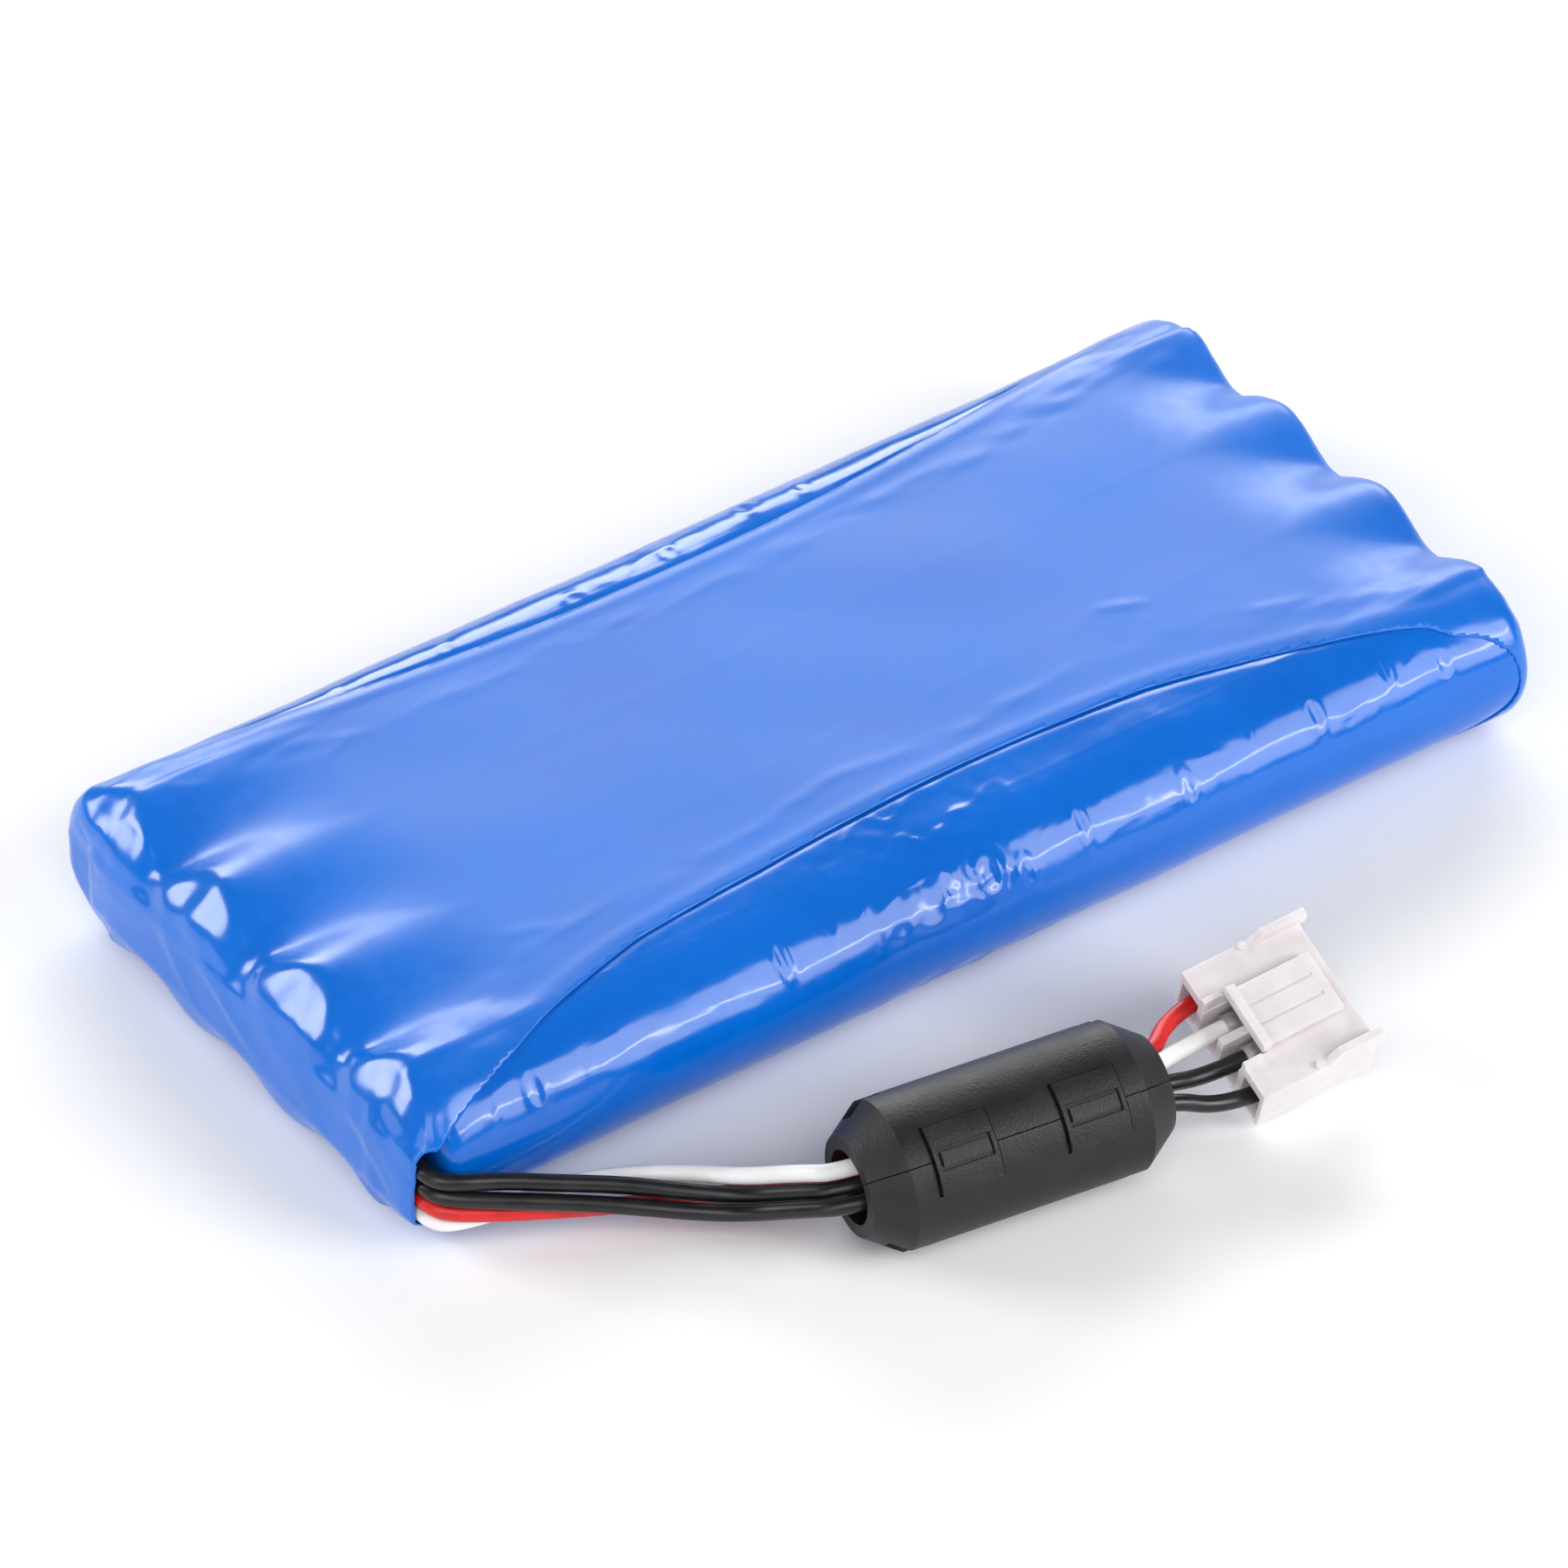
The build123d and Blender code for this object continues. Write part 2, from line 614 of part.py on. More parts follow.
with BuildPart() as hinge_webs:
    for x in tongue_x:
        with Locations(Location((x, HINGE_REACH, 0), (0, 90, 0))):
            Cylinder(WEB_RADIUS, WEB_LENGTH)
place_on_sleeve(hinge_webs.part, "ferrite_hinge_webs")

# ---------------------------------------------------------------- plug
plug_top = PLUG_HEIGHT / 2
wire_face = -PLUG_LENGTH / 2
mating_face = PLUG_LENGTH / 2
ear_end = mating_face + EAR_OVERHANG
ear_start = ear_end - EAR[0]
lever_floor = plug_top + LEVER_LIFT


def place_on_plug(piece, name):
    """Set a piece made in the plug's own frame where the plug lies."""
    finish(plug_plane.from_local_coords(piece), name)


with BuildPart() as plug_housing:
    Box(PLUG_LENGTH, PLUG_WIDTH, PLUG_HEIGHT)
    chamfer(plug_housing.edges().filter_by(Axis.X).group_by(Axis.Z)[0], PLUG_CHAMFER)
    for y in way_y:
        with Locations((wire_face, y, WAY_AXIS_Z)):
            Box(PLUG_LENGTH - FRONT_WALL, WAY_WIDTH, WAY_HEIGHT,
                align=(Align.MIN, Align.CENTER, Align.CENTER), mode=Mode.SUBTRACT)
        with Locations((mating_face, y, WAY_AXIS_Z)):
            Box(3 * FRONT_WALL, *MOUTH, mode=Mode.SUBTRACT)
    with Locations((wire_face, 0, plug_top)):
        Box(2 * NOTCH[0], NOTCH[1], 3.0, mode=Mode.SUBTRACT)
    for side in (-1, 1):
        with BuildSketch(Plane.XZ.offset(-side * (PLUG_WIDTH - EAR[1]) / 2)):
            with BuildLine():
                Polyline((ear_start, plug_top - PLUG_CHAMFER), (ear_start, plug_top),
                         (ear_start + EAR[2], plug_top + EAR[2]), (ear_end, plug_top + EAR[2]),
                         (ear_end, plug_top - PLUG_CHAMFER),
                         (ear_start, plug_top - PLUG_CHAMFER))
            make_face()
        extrude(amount=EAR[1] / 2, both=True)
        with Locations((ear_start - 2 * BOSS[0], side * (PLUG_WIDTH - EAR[1]) / 2, plug_top)):
            Cylinder(BOSS[0], 2 * BOSS[1])
        rail_y = side * (NOTCH[1] + RAIL[1]) / 2
        with Locations((wire_face + RAIL[0] / 2, rail_y, plug_top + RAIL[2] / 2)):
            Box(*RAIL)
    with Locations(Location((LEVER_PIVOT_X, 0, plug_top), (90, 0, 0))):
        Cylinder(FULCRUM_RADIUS, LEVER_WIDTH - 1)
place_on_plug(plug_housing.part, "plug_housing")

with BuildPart() as lock_lever:
    lever_length = LEVER_X[1] - LEVER_X[0]
    with Locations(((LEVER_X[0] + LEVER_X[1]) / 2, 0, lever_floor + LEVER_THICKNESS / 2)):
        Box(lever_length, LEVER_WIDTH, LEVER_THICKNESS)
    lever_top = lever_floor + LEVER_THICKNESS
    for groove_y in (-LEVER_WIDTH / 6, LEVER_WIDTH / 6):
        with Locations(((LEVER_X[0] + LEVER_X[1]) / 2, groove_y, lever_top)):
            Box(lever_length - 2 * CROSSBAR[0], GROOVE[0], 2 * GROOVE[1], mode=Mode.SUBTRACT)
    with Locations((LEVER_X[0] + CROSSBAR[0] / 2, 0, lever_top)):
        Box(CROSSBAR[0], CROSSBAR[1], 2 * CROSSBAR[2])
place_on_plug(lock_lever.part, "lock_lever")


def contact(y):
    """Folded receptacle with a crimp barrel around its wire."""
    with BuildPart() as terminal:
        with Locations(((CONTACT_X[0] + CONTACT_X[1]) / 2, y, WAY_AXIS_Z)):
            Box(CONTACT_X[1] - CONTACT_X[0], *CONTACT_SIZE)
        with Locations((CONTACT_X[1], y, WAY_AXIS_Z)):
            Box(2 * (CONTACT_X[1] - CONTACT_X[0] - CONTACT_WALL),
                CONTACT_SIZE[0] - 2 * CONTACT_WALL, CONTACT_SIZE[1] - 2 * CONTACT_WALL,
                mode=Mode.SUBTRACT)
        with BuildSketch(Plane.YZ.offset(CONTACT_X[0])):
            with Locations((y, WAY_AXIS_Z)):
                Circle(WIRE_DIAMETER / 2 + CRIMP_GAP + CONTACT_WALL)
                Circle(WIRE_DIAMETER / 2 + CRIMP_GAP, mode=Mode.SUBTRACT)
        extrude(amount=-CRIMP_LENGTH)
    return terminal.part


for number, y in enumerate(way_y, start=1):
    place_on_plug(contact(y), f"contact_{number}")
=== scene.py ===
import json
import math

import bmesh
import bpy
import numpy as np
from mathutils import Matrix, Vector


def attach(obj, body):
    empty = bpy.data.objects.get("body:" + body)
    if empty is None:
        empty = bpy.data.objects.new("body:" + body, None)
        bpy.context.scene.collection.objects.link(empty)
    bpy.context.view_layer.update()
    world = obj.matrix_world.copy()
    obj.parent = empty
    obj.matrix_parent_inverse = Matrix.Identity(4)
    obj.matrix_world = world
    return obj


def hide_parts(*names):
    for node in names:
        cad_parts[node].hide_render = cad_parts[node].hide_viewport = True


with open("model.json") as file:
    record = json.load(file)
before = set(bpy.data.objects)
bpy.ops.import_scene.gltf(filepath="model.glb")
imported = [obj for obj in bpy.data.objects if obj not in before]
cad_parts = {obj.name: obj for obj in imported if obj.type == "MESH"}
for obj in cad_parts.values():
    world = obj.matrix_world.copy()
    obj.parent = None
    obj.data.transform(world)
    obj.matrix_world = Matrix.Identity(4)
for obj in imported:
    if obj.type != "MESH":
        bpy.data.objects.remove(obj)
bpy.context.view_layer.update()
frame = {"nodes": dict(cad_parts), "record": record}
nodes = frame["nodes"]
MM = 0.001
view_settings = bpy.context.scene.view_settings
view_settings.view_transform = "Standard"
view_settings.look = "None"

# ------------------------------------------------------------------ camera
CAMERA_AZIMUTH = math.radians(-35.47)
CAMERA_ELEVATION = math.radians(40.02)
CAMERA_TARGET = Vector((-4.265, -3.065, 8.85)) * MM
CAMERA_DISTANCE = 1.0863
CAMERA_LENS = 240.72
SENSOR_WIDTH = 36.0
CAMERA_REACH = 10.0

camera_back = Vector((
    math.sin(CAMERA_AZIMUTH) * math.cos(CAMERA_ELEVATION),
    -math.cos(CAMERA_AZIMUTH) * math.cos(CAMERA_ELEVATION),
    math.sin(CAMERA_ELEVATION),
))
camera_data = bpy.data.cameras.new("camera")
camera = bpy.data.objects.new("camera", camera_data)
bpy.context.scene.collection.objects.link(camera)
camera.location = CAMERA_TARGET + camera_back * CAMERA_DISTANCE
camera.rotation_euler = camera_back.to_track_quat("Z", "Y").to_euler()
camera_data.lens = CAMERA_LENS
camera_data.sensor_width = SENSOR_WIDTH
camera_data.clip_end = CAMERA_REACH
bpy.context.scene.camera = camera

# ------------------------------------------------------------------ plug's own frame
PLUG_CENTRE = Vector((15.9, -60.4, 6.9)) * MM
PLUG_ROLL = math.radians(22.0)
PLUG_PITCH = math.radians(-7.2)
PLUG_YAW = math.radians(-5.2)
plug_frame = (Matrix.Translation(PLUG_CENTRE) @ Matrix.Rotation(PLUG_YAW, 4, "Z")
              @ Matrix.Rotation(PLUG_PITCH, 4, "Y") @ Matrix.Rotation(PLUG_ROLL, 4, "X"))

# ------------------------------------------------------------------ wires
WIRE_DIAMETER = 1.8 * MM
# The plug's ways, in millimetres in its own frame: their pitch, the height of their axes, and
# where a wire ends and starts to be in line with its way.
WAY_PITCH = 3.96
WAY_AXIS_Z = -0.3
WIRE_END_X = -3.3
WAY_APPROACH = 5.9
MIDDLE_WAY = 2.5
WIRE_ROUND_STEPS = 10
WIRE_LENGTH_STEPS = 16


def into_way(number):
    """Last two points of a wire, in millimetres: in line with its way, then in its contact."""
    y = WAY_PITCH * (number - MIDDLE_WAY)
    ends = [plug_frame @ (Vector((x, y, WAY_AXIS_Z)) * MM)
            for x in (WIRE_END_X - WAY_APPROACH, WIRE_END_X)]
    return [tuple(end / MM) for end in ends]


# Each wire's length in metres and its route in millimetres.
ROUTES = {
    "black_upper": (0.0933, [
        (-69.1, -31.5, 10.3), (-69.1, -33.5, 10.3), (-67.6, -35.0, 9.9), (-62.5, -36.5, 8.7),
        (-57.3, -38.7, 7.3), (-51.2, -41.3, 5.8), (-45.6, -44.6, 4.3), (-41.3, -47.6, 3.7),
        (-37.6, -52.8, 6.1), (-35.3, -56.1, 7.4), (-25.6, -57.9, 7.5), (-12.7, -59.8, 7.4),
        (-0.2, -61.3, 7.2),
        *into_way(2)]),
    "black_lower": (0.0948, [
        (-69.1, -31.5, 8.4), (-69.1, -33.6, 8.4), (-67.6, -35.3, 8.0), (-63.2, -37.5, 7.1),
        (-58.0, -39.7, 5.8), (-52.0, -42.5, 4.3), (-46.6, -46.1, 3.3), (-42.4, -49.2, 3.1),
        (-38.8, -54.4, 5.6), (-35.9, -58.4, 7.3), (-25.9, -60.1, 7.0), (-13.1, -62.0, 6.9),
        (-0.6, -63.1, 6.9),
        *into_way(1)]),
    "red": (0.0940, [
        (-69.1, -31.5, 6.5), (-69.1, -33.6, 6.5), (-67.6, -35.3, 6.1), (-63.1, -37.2, 5.2),
        (-57.5, -39.0, 4.0), (-51.1, -41.2, 2.9), (-44.9, -43.7, 2.4), (-40.1, -46.1, 2.6),
        (-35.9, -50.5, 4.2), (-35.1, -54.1, 6.6), (-25.5, -56.1, 7.4), (-12.4, -57.5, 7.6),
        (0.5, -59.5, 8.4),
        *into_way(4)]),
    "white": (0.0946, [
        (-69.1, -31.5, 4.6), (-69.1, -33.4, 4.6), (-67.5, -34.7, 4.2), (-62.1, -35.8, 4.0),
        (-55.7, -36.5, 4.6), (-49.3, -38.6, 4.2), (-44.1, -42.5, 4.6), (-40.7, -46.7, 5.3),
        (-37.1, -51.7, 7.6), (-35.2, -55.4, 9.3), (-25.4, -56.8, 9.3), (-12.7, -59.0, 9.5),
        (-0.9, -61.5, 9.9),
        *into_way(3)]),
}


def wire_curve(colour, points):
    """Round wire on one smooth line through its route."""
    curve = bpy.data.curves.new(f"free_wire_{colour}", "CURVE")
    curve.dimensions = "3D"
    curve.bevel_depth = 1.0
    curve.bevel_resolution = WIRE_ROUND_STEPS
    curve.resolution_u = WIRE_LENGTH_STEPS
    curve.use_fill_caps = True
    spline = curve.splines.new("NURBS")
    spline.points.add(len(points) - 1)
    for point, place in zip(spline.points, points):
        point.co = (*(value * MM for value in place), 1)
        point.radius = WIRE_DIAMETER / 2
    spline.order_u = 3
    spline.use_endpoint_u = True
    piece = bpy.data.objects.new(f"free_wire_{colour}", curve)
    bpy.context.scene.collection.objects.link(piece)
    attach(piece, "pack")
    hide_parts(f"wire_{colour}")
    return piece


wires = {colour: wire_curve(colour, points) for colour, (_, points) in ROUTES.items()}

# ------------------------------------------------------------------ the films' surface
# Millimetres, z measured from the plane of the cells' axes.
AXIS_Z = 8.85
OUTER_RADIUS = 8.85
COLUMN_Y = (-25.5, -8.5, 8.5, 25.5)
COLUMN_PITCH = 17.0
EDGE_Y = 25.5
QUARTER_GIRTH = OUTER_RADIUS * math.pi / 2
# Outer film's columns: radius, both ends along X, corner radius at each and how softly they
# merge.
OUTER_COLUMN_RADIUS = OUTER_RADIUS - 0.02
OUTER_NEAR, OUTER_FAR = -69.7, 70.45
OUTER_CORNERS = (2.9, 2.3)
OUTER_BLEND = 0.8
# How far it sinks between the columns at each end, where that starts, over what length it
# fades and how fast, and the underside's share of it.
NEAR_SAG, NEAR_SAG_X, NEAR_SAG_LENGTH, NEAR_SAG_POWER = 3.5, -69.9, 24.0, 1.7
FAR_SAG, FAR_SAG_X, FAR_SAG_LENGTH, FAR_SAG_POWER = 3.3, 70.4, 17.0, 2.1
UNDERSIDE_SAG = 0.5
# Its flat web between the columns: faces at both ends, how far the near face's upper half
# leans back, how far each face dips between the columns, how far the drawn top rises, how
# round the ends are, and how softly it merges with the columns, more so where it is slack.
NEAR_FACE_X, FAR_FACE_X = -70.45, 70.42
NEAR_FACE_LEAN, NEAR_FACE_DIP, FAR_FACE_DIP = 0.9, 0.25, 0.9
TOP_RISE = 0.06
NEAR_ROUNDING, FAR_ROUNDING = 3.6, 1.5
MERGE_TAUT, MERGE_SLACK = 0.15, 0.9
# How far it is cut across the near end's upper corner, and how round that cut is.
NEAR_CHORD = 3.7
CHORD_ROUNDING = 0.9
# Boxes that the leads fill under it: centre, half sizes and corner radius, then the blend.
LEADS_AT_EXIT = ((-68.6, -28.5, -0.9), (1.0, 3.4, 3.7), 0.85)
LEADS_AT_EXIT_BLEND = 1.4
LEADS_ACROSS = ((-69.1, -2.0, -1.2), (0.55, 28.6, 3.0), 0.8)
LEADS_ACROSS_BLEND = 1.0
# Inner film's columns, the slab between them, and its gap to the outer film.
INNER_RADIUS = 8.63
INNER_NEAR, INNER_FAR = -67.2, 70.2
INNER_CORNER = 1.7
INNER_BLEND = 0.3
SLAB_CORNER = 1.2
FILM_GAP = 0.22
# Rays start from a flat plate at mid-height that reaches this far along X. They look for the
# surface in steps, then by halving.
SKELETON_X = 61.0
RAY_STEPS = 44
RAY_REACH = 16.0
BISECTIONS = 14
# Short step for slopes, how near the cut line a vertex moves onto it, and the least slope
# squared that it moves by.
SLOPE_STEP = 0.02
CUT_REACH = 0.11
LEAST_STEEPNESS = 0.25

# Edge of the opening on the wires' side: x and distance round the section from mid-height.
NEAR_OPENING = (
    (68.2, 0.0), (68.0, 2.4), (66.8, 4.8), (64.8, 6.7), (61.7, 8.1), (59.2, 10.4), (55.0, 12.0),
    (48.5, 13.9), (38.9, 16.5), (28.8, 18.7), (21.5, 19.3), (5.9, 19.9), (-6.8, 19.4),
    (-20.0, 18.3), (-29.5, 17.5), (-36.1, 16.8), (-43.4, 14.8), (-49.8, 12.8), (-54.8, 10.6),
    (-59.3, 8.8), (-65.4, 5.8), (-68.2, 3.6), (-69.0, 0.0),
)
# Half length and half height that its angles are measured in.
NEAR_OPENING_REACH = (67.9, 19.5)
# Half length and half height of the other side's opening.
FAR_OPENING = (67.7, 15.3)
# Corners of the hole that the wires leave by.
EXIT_LOW = (-75.0, -40.0, -5.9)
EXIT_HIGH = (-64.0, -32.5, 3.9)


def smooth_min(a, b, width):
    share = np.clip(0.5 + 0.5 * (b - a) / width, 0, 1)
    return b * (1 - share) + a * share - width * share * (1 - share)


def smooth_max(a, b, width):
    return -smooth_min(-a, -b, width)


def bump(value, centre, width):
    return np.exp(-((value - centre) / width) ** 2)


def ramp(value, low, high):
    t = np.clip((value - low) / (high - low), 0, 1)
    return t * t * (3 - 2 * t)


def waves(seed, count, lengths, *axes):
    """Smooth noise of about unit size from a few plane waves of the given wavelengths."""
    source = np.random.default_rng(seed)
    total = 0
    for _ in range(count):
        length = source.uniform(*lengths)
        turn = source.normal(size=len(axes))
        turn /= np.linalg.norm(turn)
        phase = source.uniform(0, 2 * math.pi)
        across = sum(t * a for t, a in zip(turn, axes))
        total = total + np.sin(2 * math.pi / length * across + phase)
    return total / math.sqrt(count / 2)


def ridges(seed, count, lengths, lowest, *axes):
    """Sharp crests of height 1 between smooth facets, cut off at the lowest value."""
    return np.maximum(1 - 2 * np.abs(waves(seed, count, lengths, *axes)), lowest)


def rounded_box(place, centre, half_sizes, corner):
    """Distance from a box grown by a corner radius; negative inside."""
    outside = np.stack([np.abs(value - middle) - half
                        for value, middle, half in zip(place, centre, half_sizes)])
    return (np.linalg.norm(np.maximum(outside, 0), axis=0)
            + np.minimum(outside.max(axis=0), 0) - corner)


def rounded_columns(x, y, z, radius, low, high, corners, blend):
    """Four rounded bars side by side, merged softly."""
    middle, half = (low + high) / 2, (high - low) / 2
    corner = np.where(x < middle, *corners)
    along = np.abs(x - middle) - (half - corner)
    field = None
    for column in COLUMN_Y:
        across = np.hypot(y - column, z) - (radius - corner)
        one = (np.hypot(np.maximum(along, 0), np.maximum(across, 0))
               + np.minimum(np.maximum(along, across), 0) - corner)
        field = one if field is None else smooth_min(field, one, blend)
    return field


def outer_field(x, y, z):
    """Negative inside the stretched outer film."""
    columns = rounded_columns(x, y, z, OUTER_COLUMN_RADIUS, OUTER_NEAR, OUTER_FAR,
                              OUTER_CORNERS, OUTER_BLEND)
    between = 0.5 - 0.5 * np.cos(2 * math.pi * (y - COLUMN_Y[2]) / COLUMN_PITCH)
    between = np.where(np.abs(y) > EDGE_Y, 0, between)
    near = np.clip(1 - (x - NEAR_SAG_X) / NEAR_SAG_LENGTH, 0, 1)
    far = np.clip(1 - (FAR_SAG_X - x) / FAR_SAG_LENGTH, 0, 1)
    slack = NEAR_SAG * near ** NEAR_SAG_POWER + FAR_SAG * far ** FAR_SAG_POWER
    sag = between * slack
    drawn = (1 - np.clip(slack, 0, 1)) * ramp(EDGE_Y - np.abs(y), 0, 7)
    top = z - (OUTER_RADIUS + TOP_RISE * drawn - sag)
    underside = -z - (OUTER_RADIUS - UNDERSIDE_SAG * sag)
    near_face = (NEAR_FACE_X + NEAR_FACE_LEAN * ramp(z, 0, 7)
                 + NEAR_FACE_DIP * between * ramp(z, -2, 6) - x)
    far_face = x - (FAR_FACE_X - FAR_FACE_DIP * between * ramp(np.abs(z), 4.6, 7.4))
    web = smooth_max(smooth_max(top, underside, 0.4), np.abs(y) - EDGE_Y, 0.2)
    web = smooth_max(web, smooth_max(near_face, far_face, 0.1),
                     np.where(x > 0, FAR_ROUNDING, NEAR_ROUNDING))
    field = smooth_min(columns, web, MERGE_TAUT + MERGE_SLACK * np.clip(slack, 0, 1))
    # The film cuts straight across the upper corner of the near end.
    uneven = 0.34 * np.sin(0.55 * y + 1.0) + 0.04 * np.sin(1.3 * y + 0.5 * z + 2.0)
    chord = (NEAR_CHORD + uneven + z - OUTER_RADIUS + OUTER_NEAR - x) / math.sqrt(2)
    field = smooth_max(field, chord, CHORD_ROUNDING)
    # The leads push the near end out at the corner where they leave.
    field = smooth_min(field, rounded_box((x, y, z), *LEADS_AT_EXIT), LEADS_AT_EXIT_BLEND)
    # Inside, they run across the near end below mid-height.
    return smooth_min(field, rounded_box((x, y, z), *LEADS_ACROSS), LEADS_ACROSS_BLEND)


def inner_field(x, y, z):
    """Negative inside the inner film."""
    columns = rounded_columns(x, y, z, INNER_RADIUS, INNER_NEAR, INNER_FAR,
                              (INNER_CORNER, INNER_CORNER), INNER_BLEND)
    middle, half = (INNER_NEAR + INNER_FAR) / 2, (INNER_FAR - INNER_NEAR) / 2
    slab = rounded_box((x, y, z), (middle, 0, 0),
                       (half - SLAB_CORNER, EDGE_Y, INNER_RADIUS - SLAB_CORNER), SLAB_CORNER)
    return smooth_min(columns, slab, INNER_BLEND)


def spread(segments):
    """Values along a line from (start, end, count) pieces, ends not repeated."""
    pieces = [np.linspace(start, end, count, endpoint=False) for start, end, count in segments]
    return np.append(np.concatenate(pieces), segments[-1][1])


def ray_sheet(stations_x, stations_y):
    """Ray starts and directions over the upper half: a square grid from mid-height at one
    end and side to mid-height at the other. Stations beyond -1 and 1 turn round the edge."""
    u, v = np.meshgrid(stations_x, stations_y, indexing="ij")
    base_x = np.clip(u, -1, 1) * SKELETON_X
    base_y = np.clip(v, -1, 1) * EDGE_Y
    turn_x = np.clip(np.abs(u) - 1, 0, 1) * math.pi / 2
    turn_y = np.clip(np.abs(v) - 1, 0, 1) * math.pi / 2
    heading = np.stack([np.sign(u) * np.sin(turn_x), np.sign(v) * np.sin(turn_y),
                        np.cos(turn_x) * np.cos(turn_y)], axis=-1)
    heading /= np.linalg.norm(heading, axis=-1, keepdims=True)
    start = np.stack([base_x, base_y, np.zeros_like(base_x)], axis=-1)
    return start, heading


def first_outside(field, start, heading):
    """Distance along each ray to the outermost place where the field changes sign."""
    steps = np.linspace(0, RAY_REACH, RAY_STEPS)
    inside = np.zeros(start.shape[:-1])
    for step in steps:
        place = start + heading * step
        hit = field(place[..., 0], place[..., 1], place[..., 2]) < 0
        inside = np.where(hit, step, inside)
    low, high = inside, inside + steps[1]
    for _ in range(BISECTIONS):
        middle = (low + high) / 2
        place = start + heading * middle[..., None]
        hit = field(place[..., 0], place[..., 1], place[..., 2]) < 0
        low = np.where(hit, middle, low)
        high = np.where(hit, high, middle)
    return (low + high) / 2


def girth(y, z):
    """Distance round the section from mid-height, over the flank and in over the flat."""
    over = np.abs(y) - EDGE_Y
    flank = OUTER_RADIUS * np.arctan2(np.abs(z), np.maximum(over, 1e-6))
    return np.where(over > 0, flank, QUARTER_GIRTH - over)


def near_opening(x, rise):
    """Signed distance, about in millimetres, outwards from the near opening's edge."""
    half_length, half_height = NEAR_OPENING_REACH
    edge_x, edge_rise = np.array(NEAR_OPENING).T / np.array([[half_length], [half_height]])
    angles, radii = np.arctan2(edge_rise, edge_x), np.hypot(edge_x, edge_rise)
    along, up = x / half_length, rise / half_height
    radius = np.interp(np.arctan2(up, along), angles, radii)
    return (np.hypot(up, along) / radius - 1) * half_height


def far_opening(x, rise):
    """Signed distance, about in millimetres, outwards from the far opening's edge."""
    return (np.hypot(x / FAR_OPENING[0], rise / FAR_OPENING[1]) - 1) * FAR_OPENING[1]


def edge_distance(x, y, z):
    """Distance on the outer film from the nearest opening's edge; negative in an opening."""
    rise = girth(y, z)
    return np.where(y < 0, near_opening(x, rise), far_opening(x, rise))


def exit_distance(x, y, z):
    """Distance from the hole that the wires leave by; negative in it."""
    place = (x, y, z)
    return np.max([np.maximum(low - value, value - high)
                   for value, low, high in zip(place, EXIT_LOW, EXIT_HIGH)], axis=0)


def kept_distance(x, y, z):
    return np.minimum(edge_distance(x, y, z), exit_distance(x, y, z))


# ------------------------------------------------------------------ meshes of the films
def both_halves(field, stations_x, stations_y, displacement):
    """Closed net of vertices and quads round a film, upper and lower half welded."""
    start, heading = ray_sheet(stations_x, stations_y)
    count_x, count_y = start.shape[:2]
    halves = []
    for sign in (1, -1):
        aim = heading * np.array([1, 1, sign])
        reach = first_outside(field, start, aim)
        halves.append((start + aim * reach[..., None]).reshape(-1, 3))
    index = np.arange(count_x * count_y).reshape(count_x, count_y)
    rim = np.zeros((count_x, count_y), bool)
    rim[0] = rim[-1] = True
    rim[:, 0] = rim[:, -1] = True
    lower = index + count_x * count_y
    lower[rim] = index[rim]
    used, inverse = np.unique(np.concatenate([index.ravel(), lower.ravel()]), return_inverse=True)
    places = np.concatenate(halves)[used]
    upper = inverse[:index.size].reshape(index.shape)
    lower = inverse[index.size:].reshape(index.shape)
    quads = []
    for net, order in ((upper, (0, 1, 2, 3)), (lower, (3, 2, 1, 0))):
        corners = (net[:-1, :-1], net[1:, :-1], net[1:, 1:], net[:-1, 1:])
        quads.append(np.stack([corners[i].ravel() for i in order], axis=1))
    step = SLOPE_STEP
    x, y, z = places.T
    slope = np.stack([field(x + step, y, z) - field(x - step, y, z),
                      field(x, y + step, z) - field(x, y - step, z),
                      field(x, y, z + step) - field(x, y, z - step)], axis=1)
    slope /= np.maximum(np.linalg.norm(slope, axis=1, keepdims=True), 1e-9)
    places = places + slope * displacement(x, y, z)[:, None]
    return places, np.concatenate(quads)


def cut_away(places, quads, distance):
    """Faces where the distance is positive, cut cleanly along its zero line."""
    step = SLOPE_STEP
    value = distance(*places.T)
    slope = np.stack([distance(*(places + step * axis).T) - distance(*(places - step * axis).T)
                      for axis in np.eye(3)], axis=1) / (2 * step)
    steepness = np.maximum((slope ** 2).sum(axis=1), LEAST_STEEPNESS)
    close = np.abs(value) < CUT_REACH
    moved = places - slope * (value / steepness)[:, None]
    places = np.where(close[:, None], moved, places)
    value = np.where(close, 0.0, value)
    inside = value[quads] >= 0
    outside = value[quads] <= 0
    whole = quads[inside.all(axis=1) & ~outside.all(axis=1)]
    crossed = quads[~inside.all(axis=1) & ~outside.all(axis=1)]
    vertices = places.tolist()
    faces = whole.tolist()
    made = {}
    for quad in crossed.tolist():
        face = []
        for a, b in zip(quad, quad[1:] + quad[:1]):
            if value[a] >= 0:
                face.append(a)
            if value[a] * value[b] < 0:
                key = (min(a, b), max(a, b))
                if key not in made:
                    share = value[key[0]] / (value[key[0]] - value[key[1]])
                    made[key] = len(vertices)
                    vertices.append((places[key[0]] * (1 - share)
                                     + places[key[1]] * share).tolist())
                face.append(made[key])
        if len(face) > 2:
            faces.append(face)
    return np.array(vertices), faces


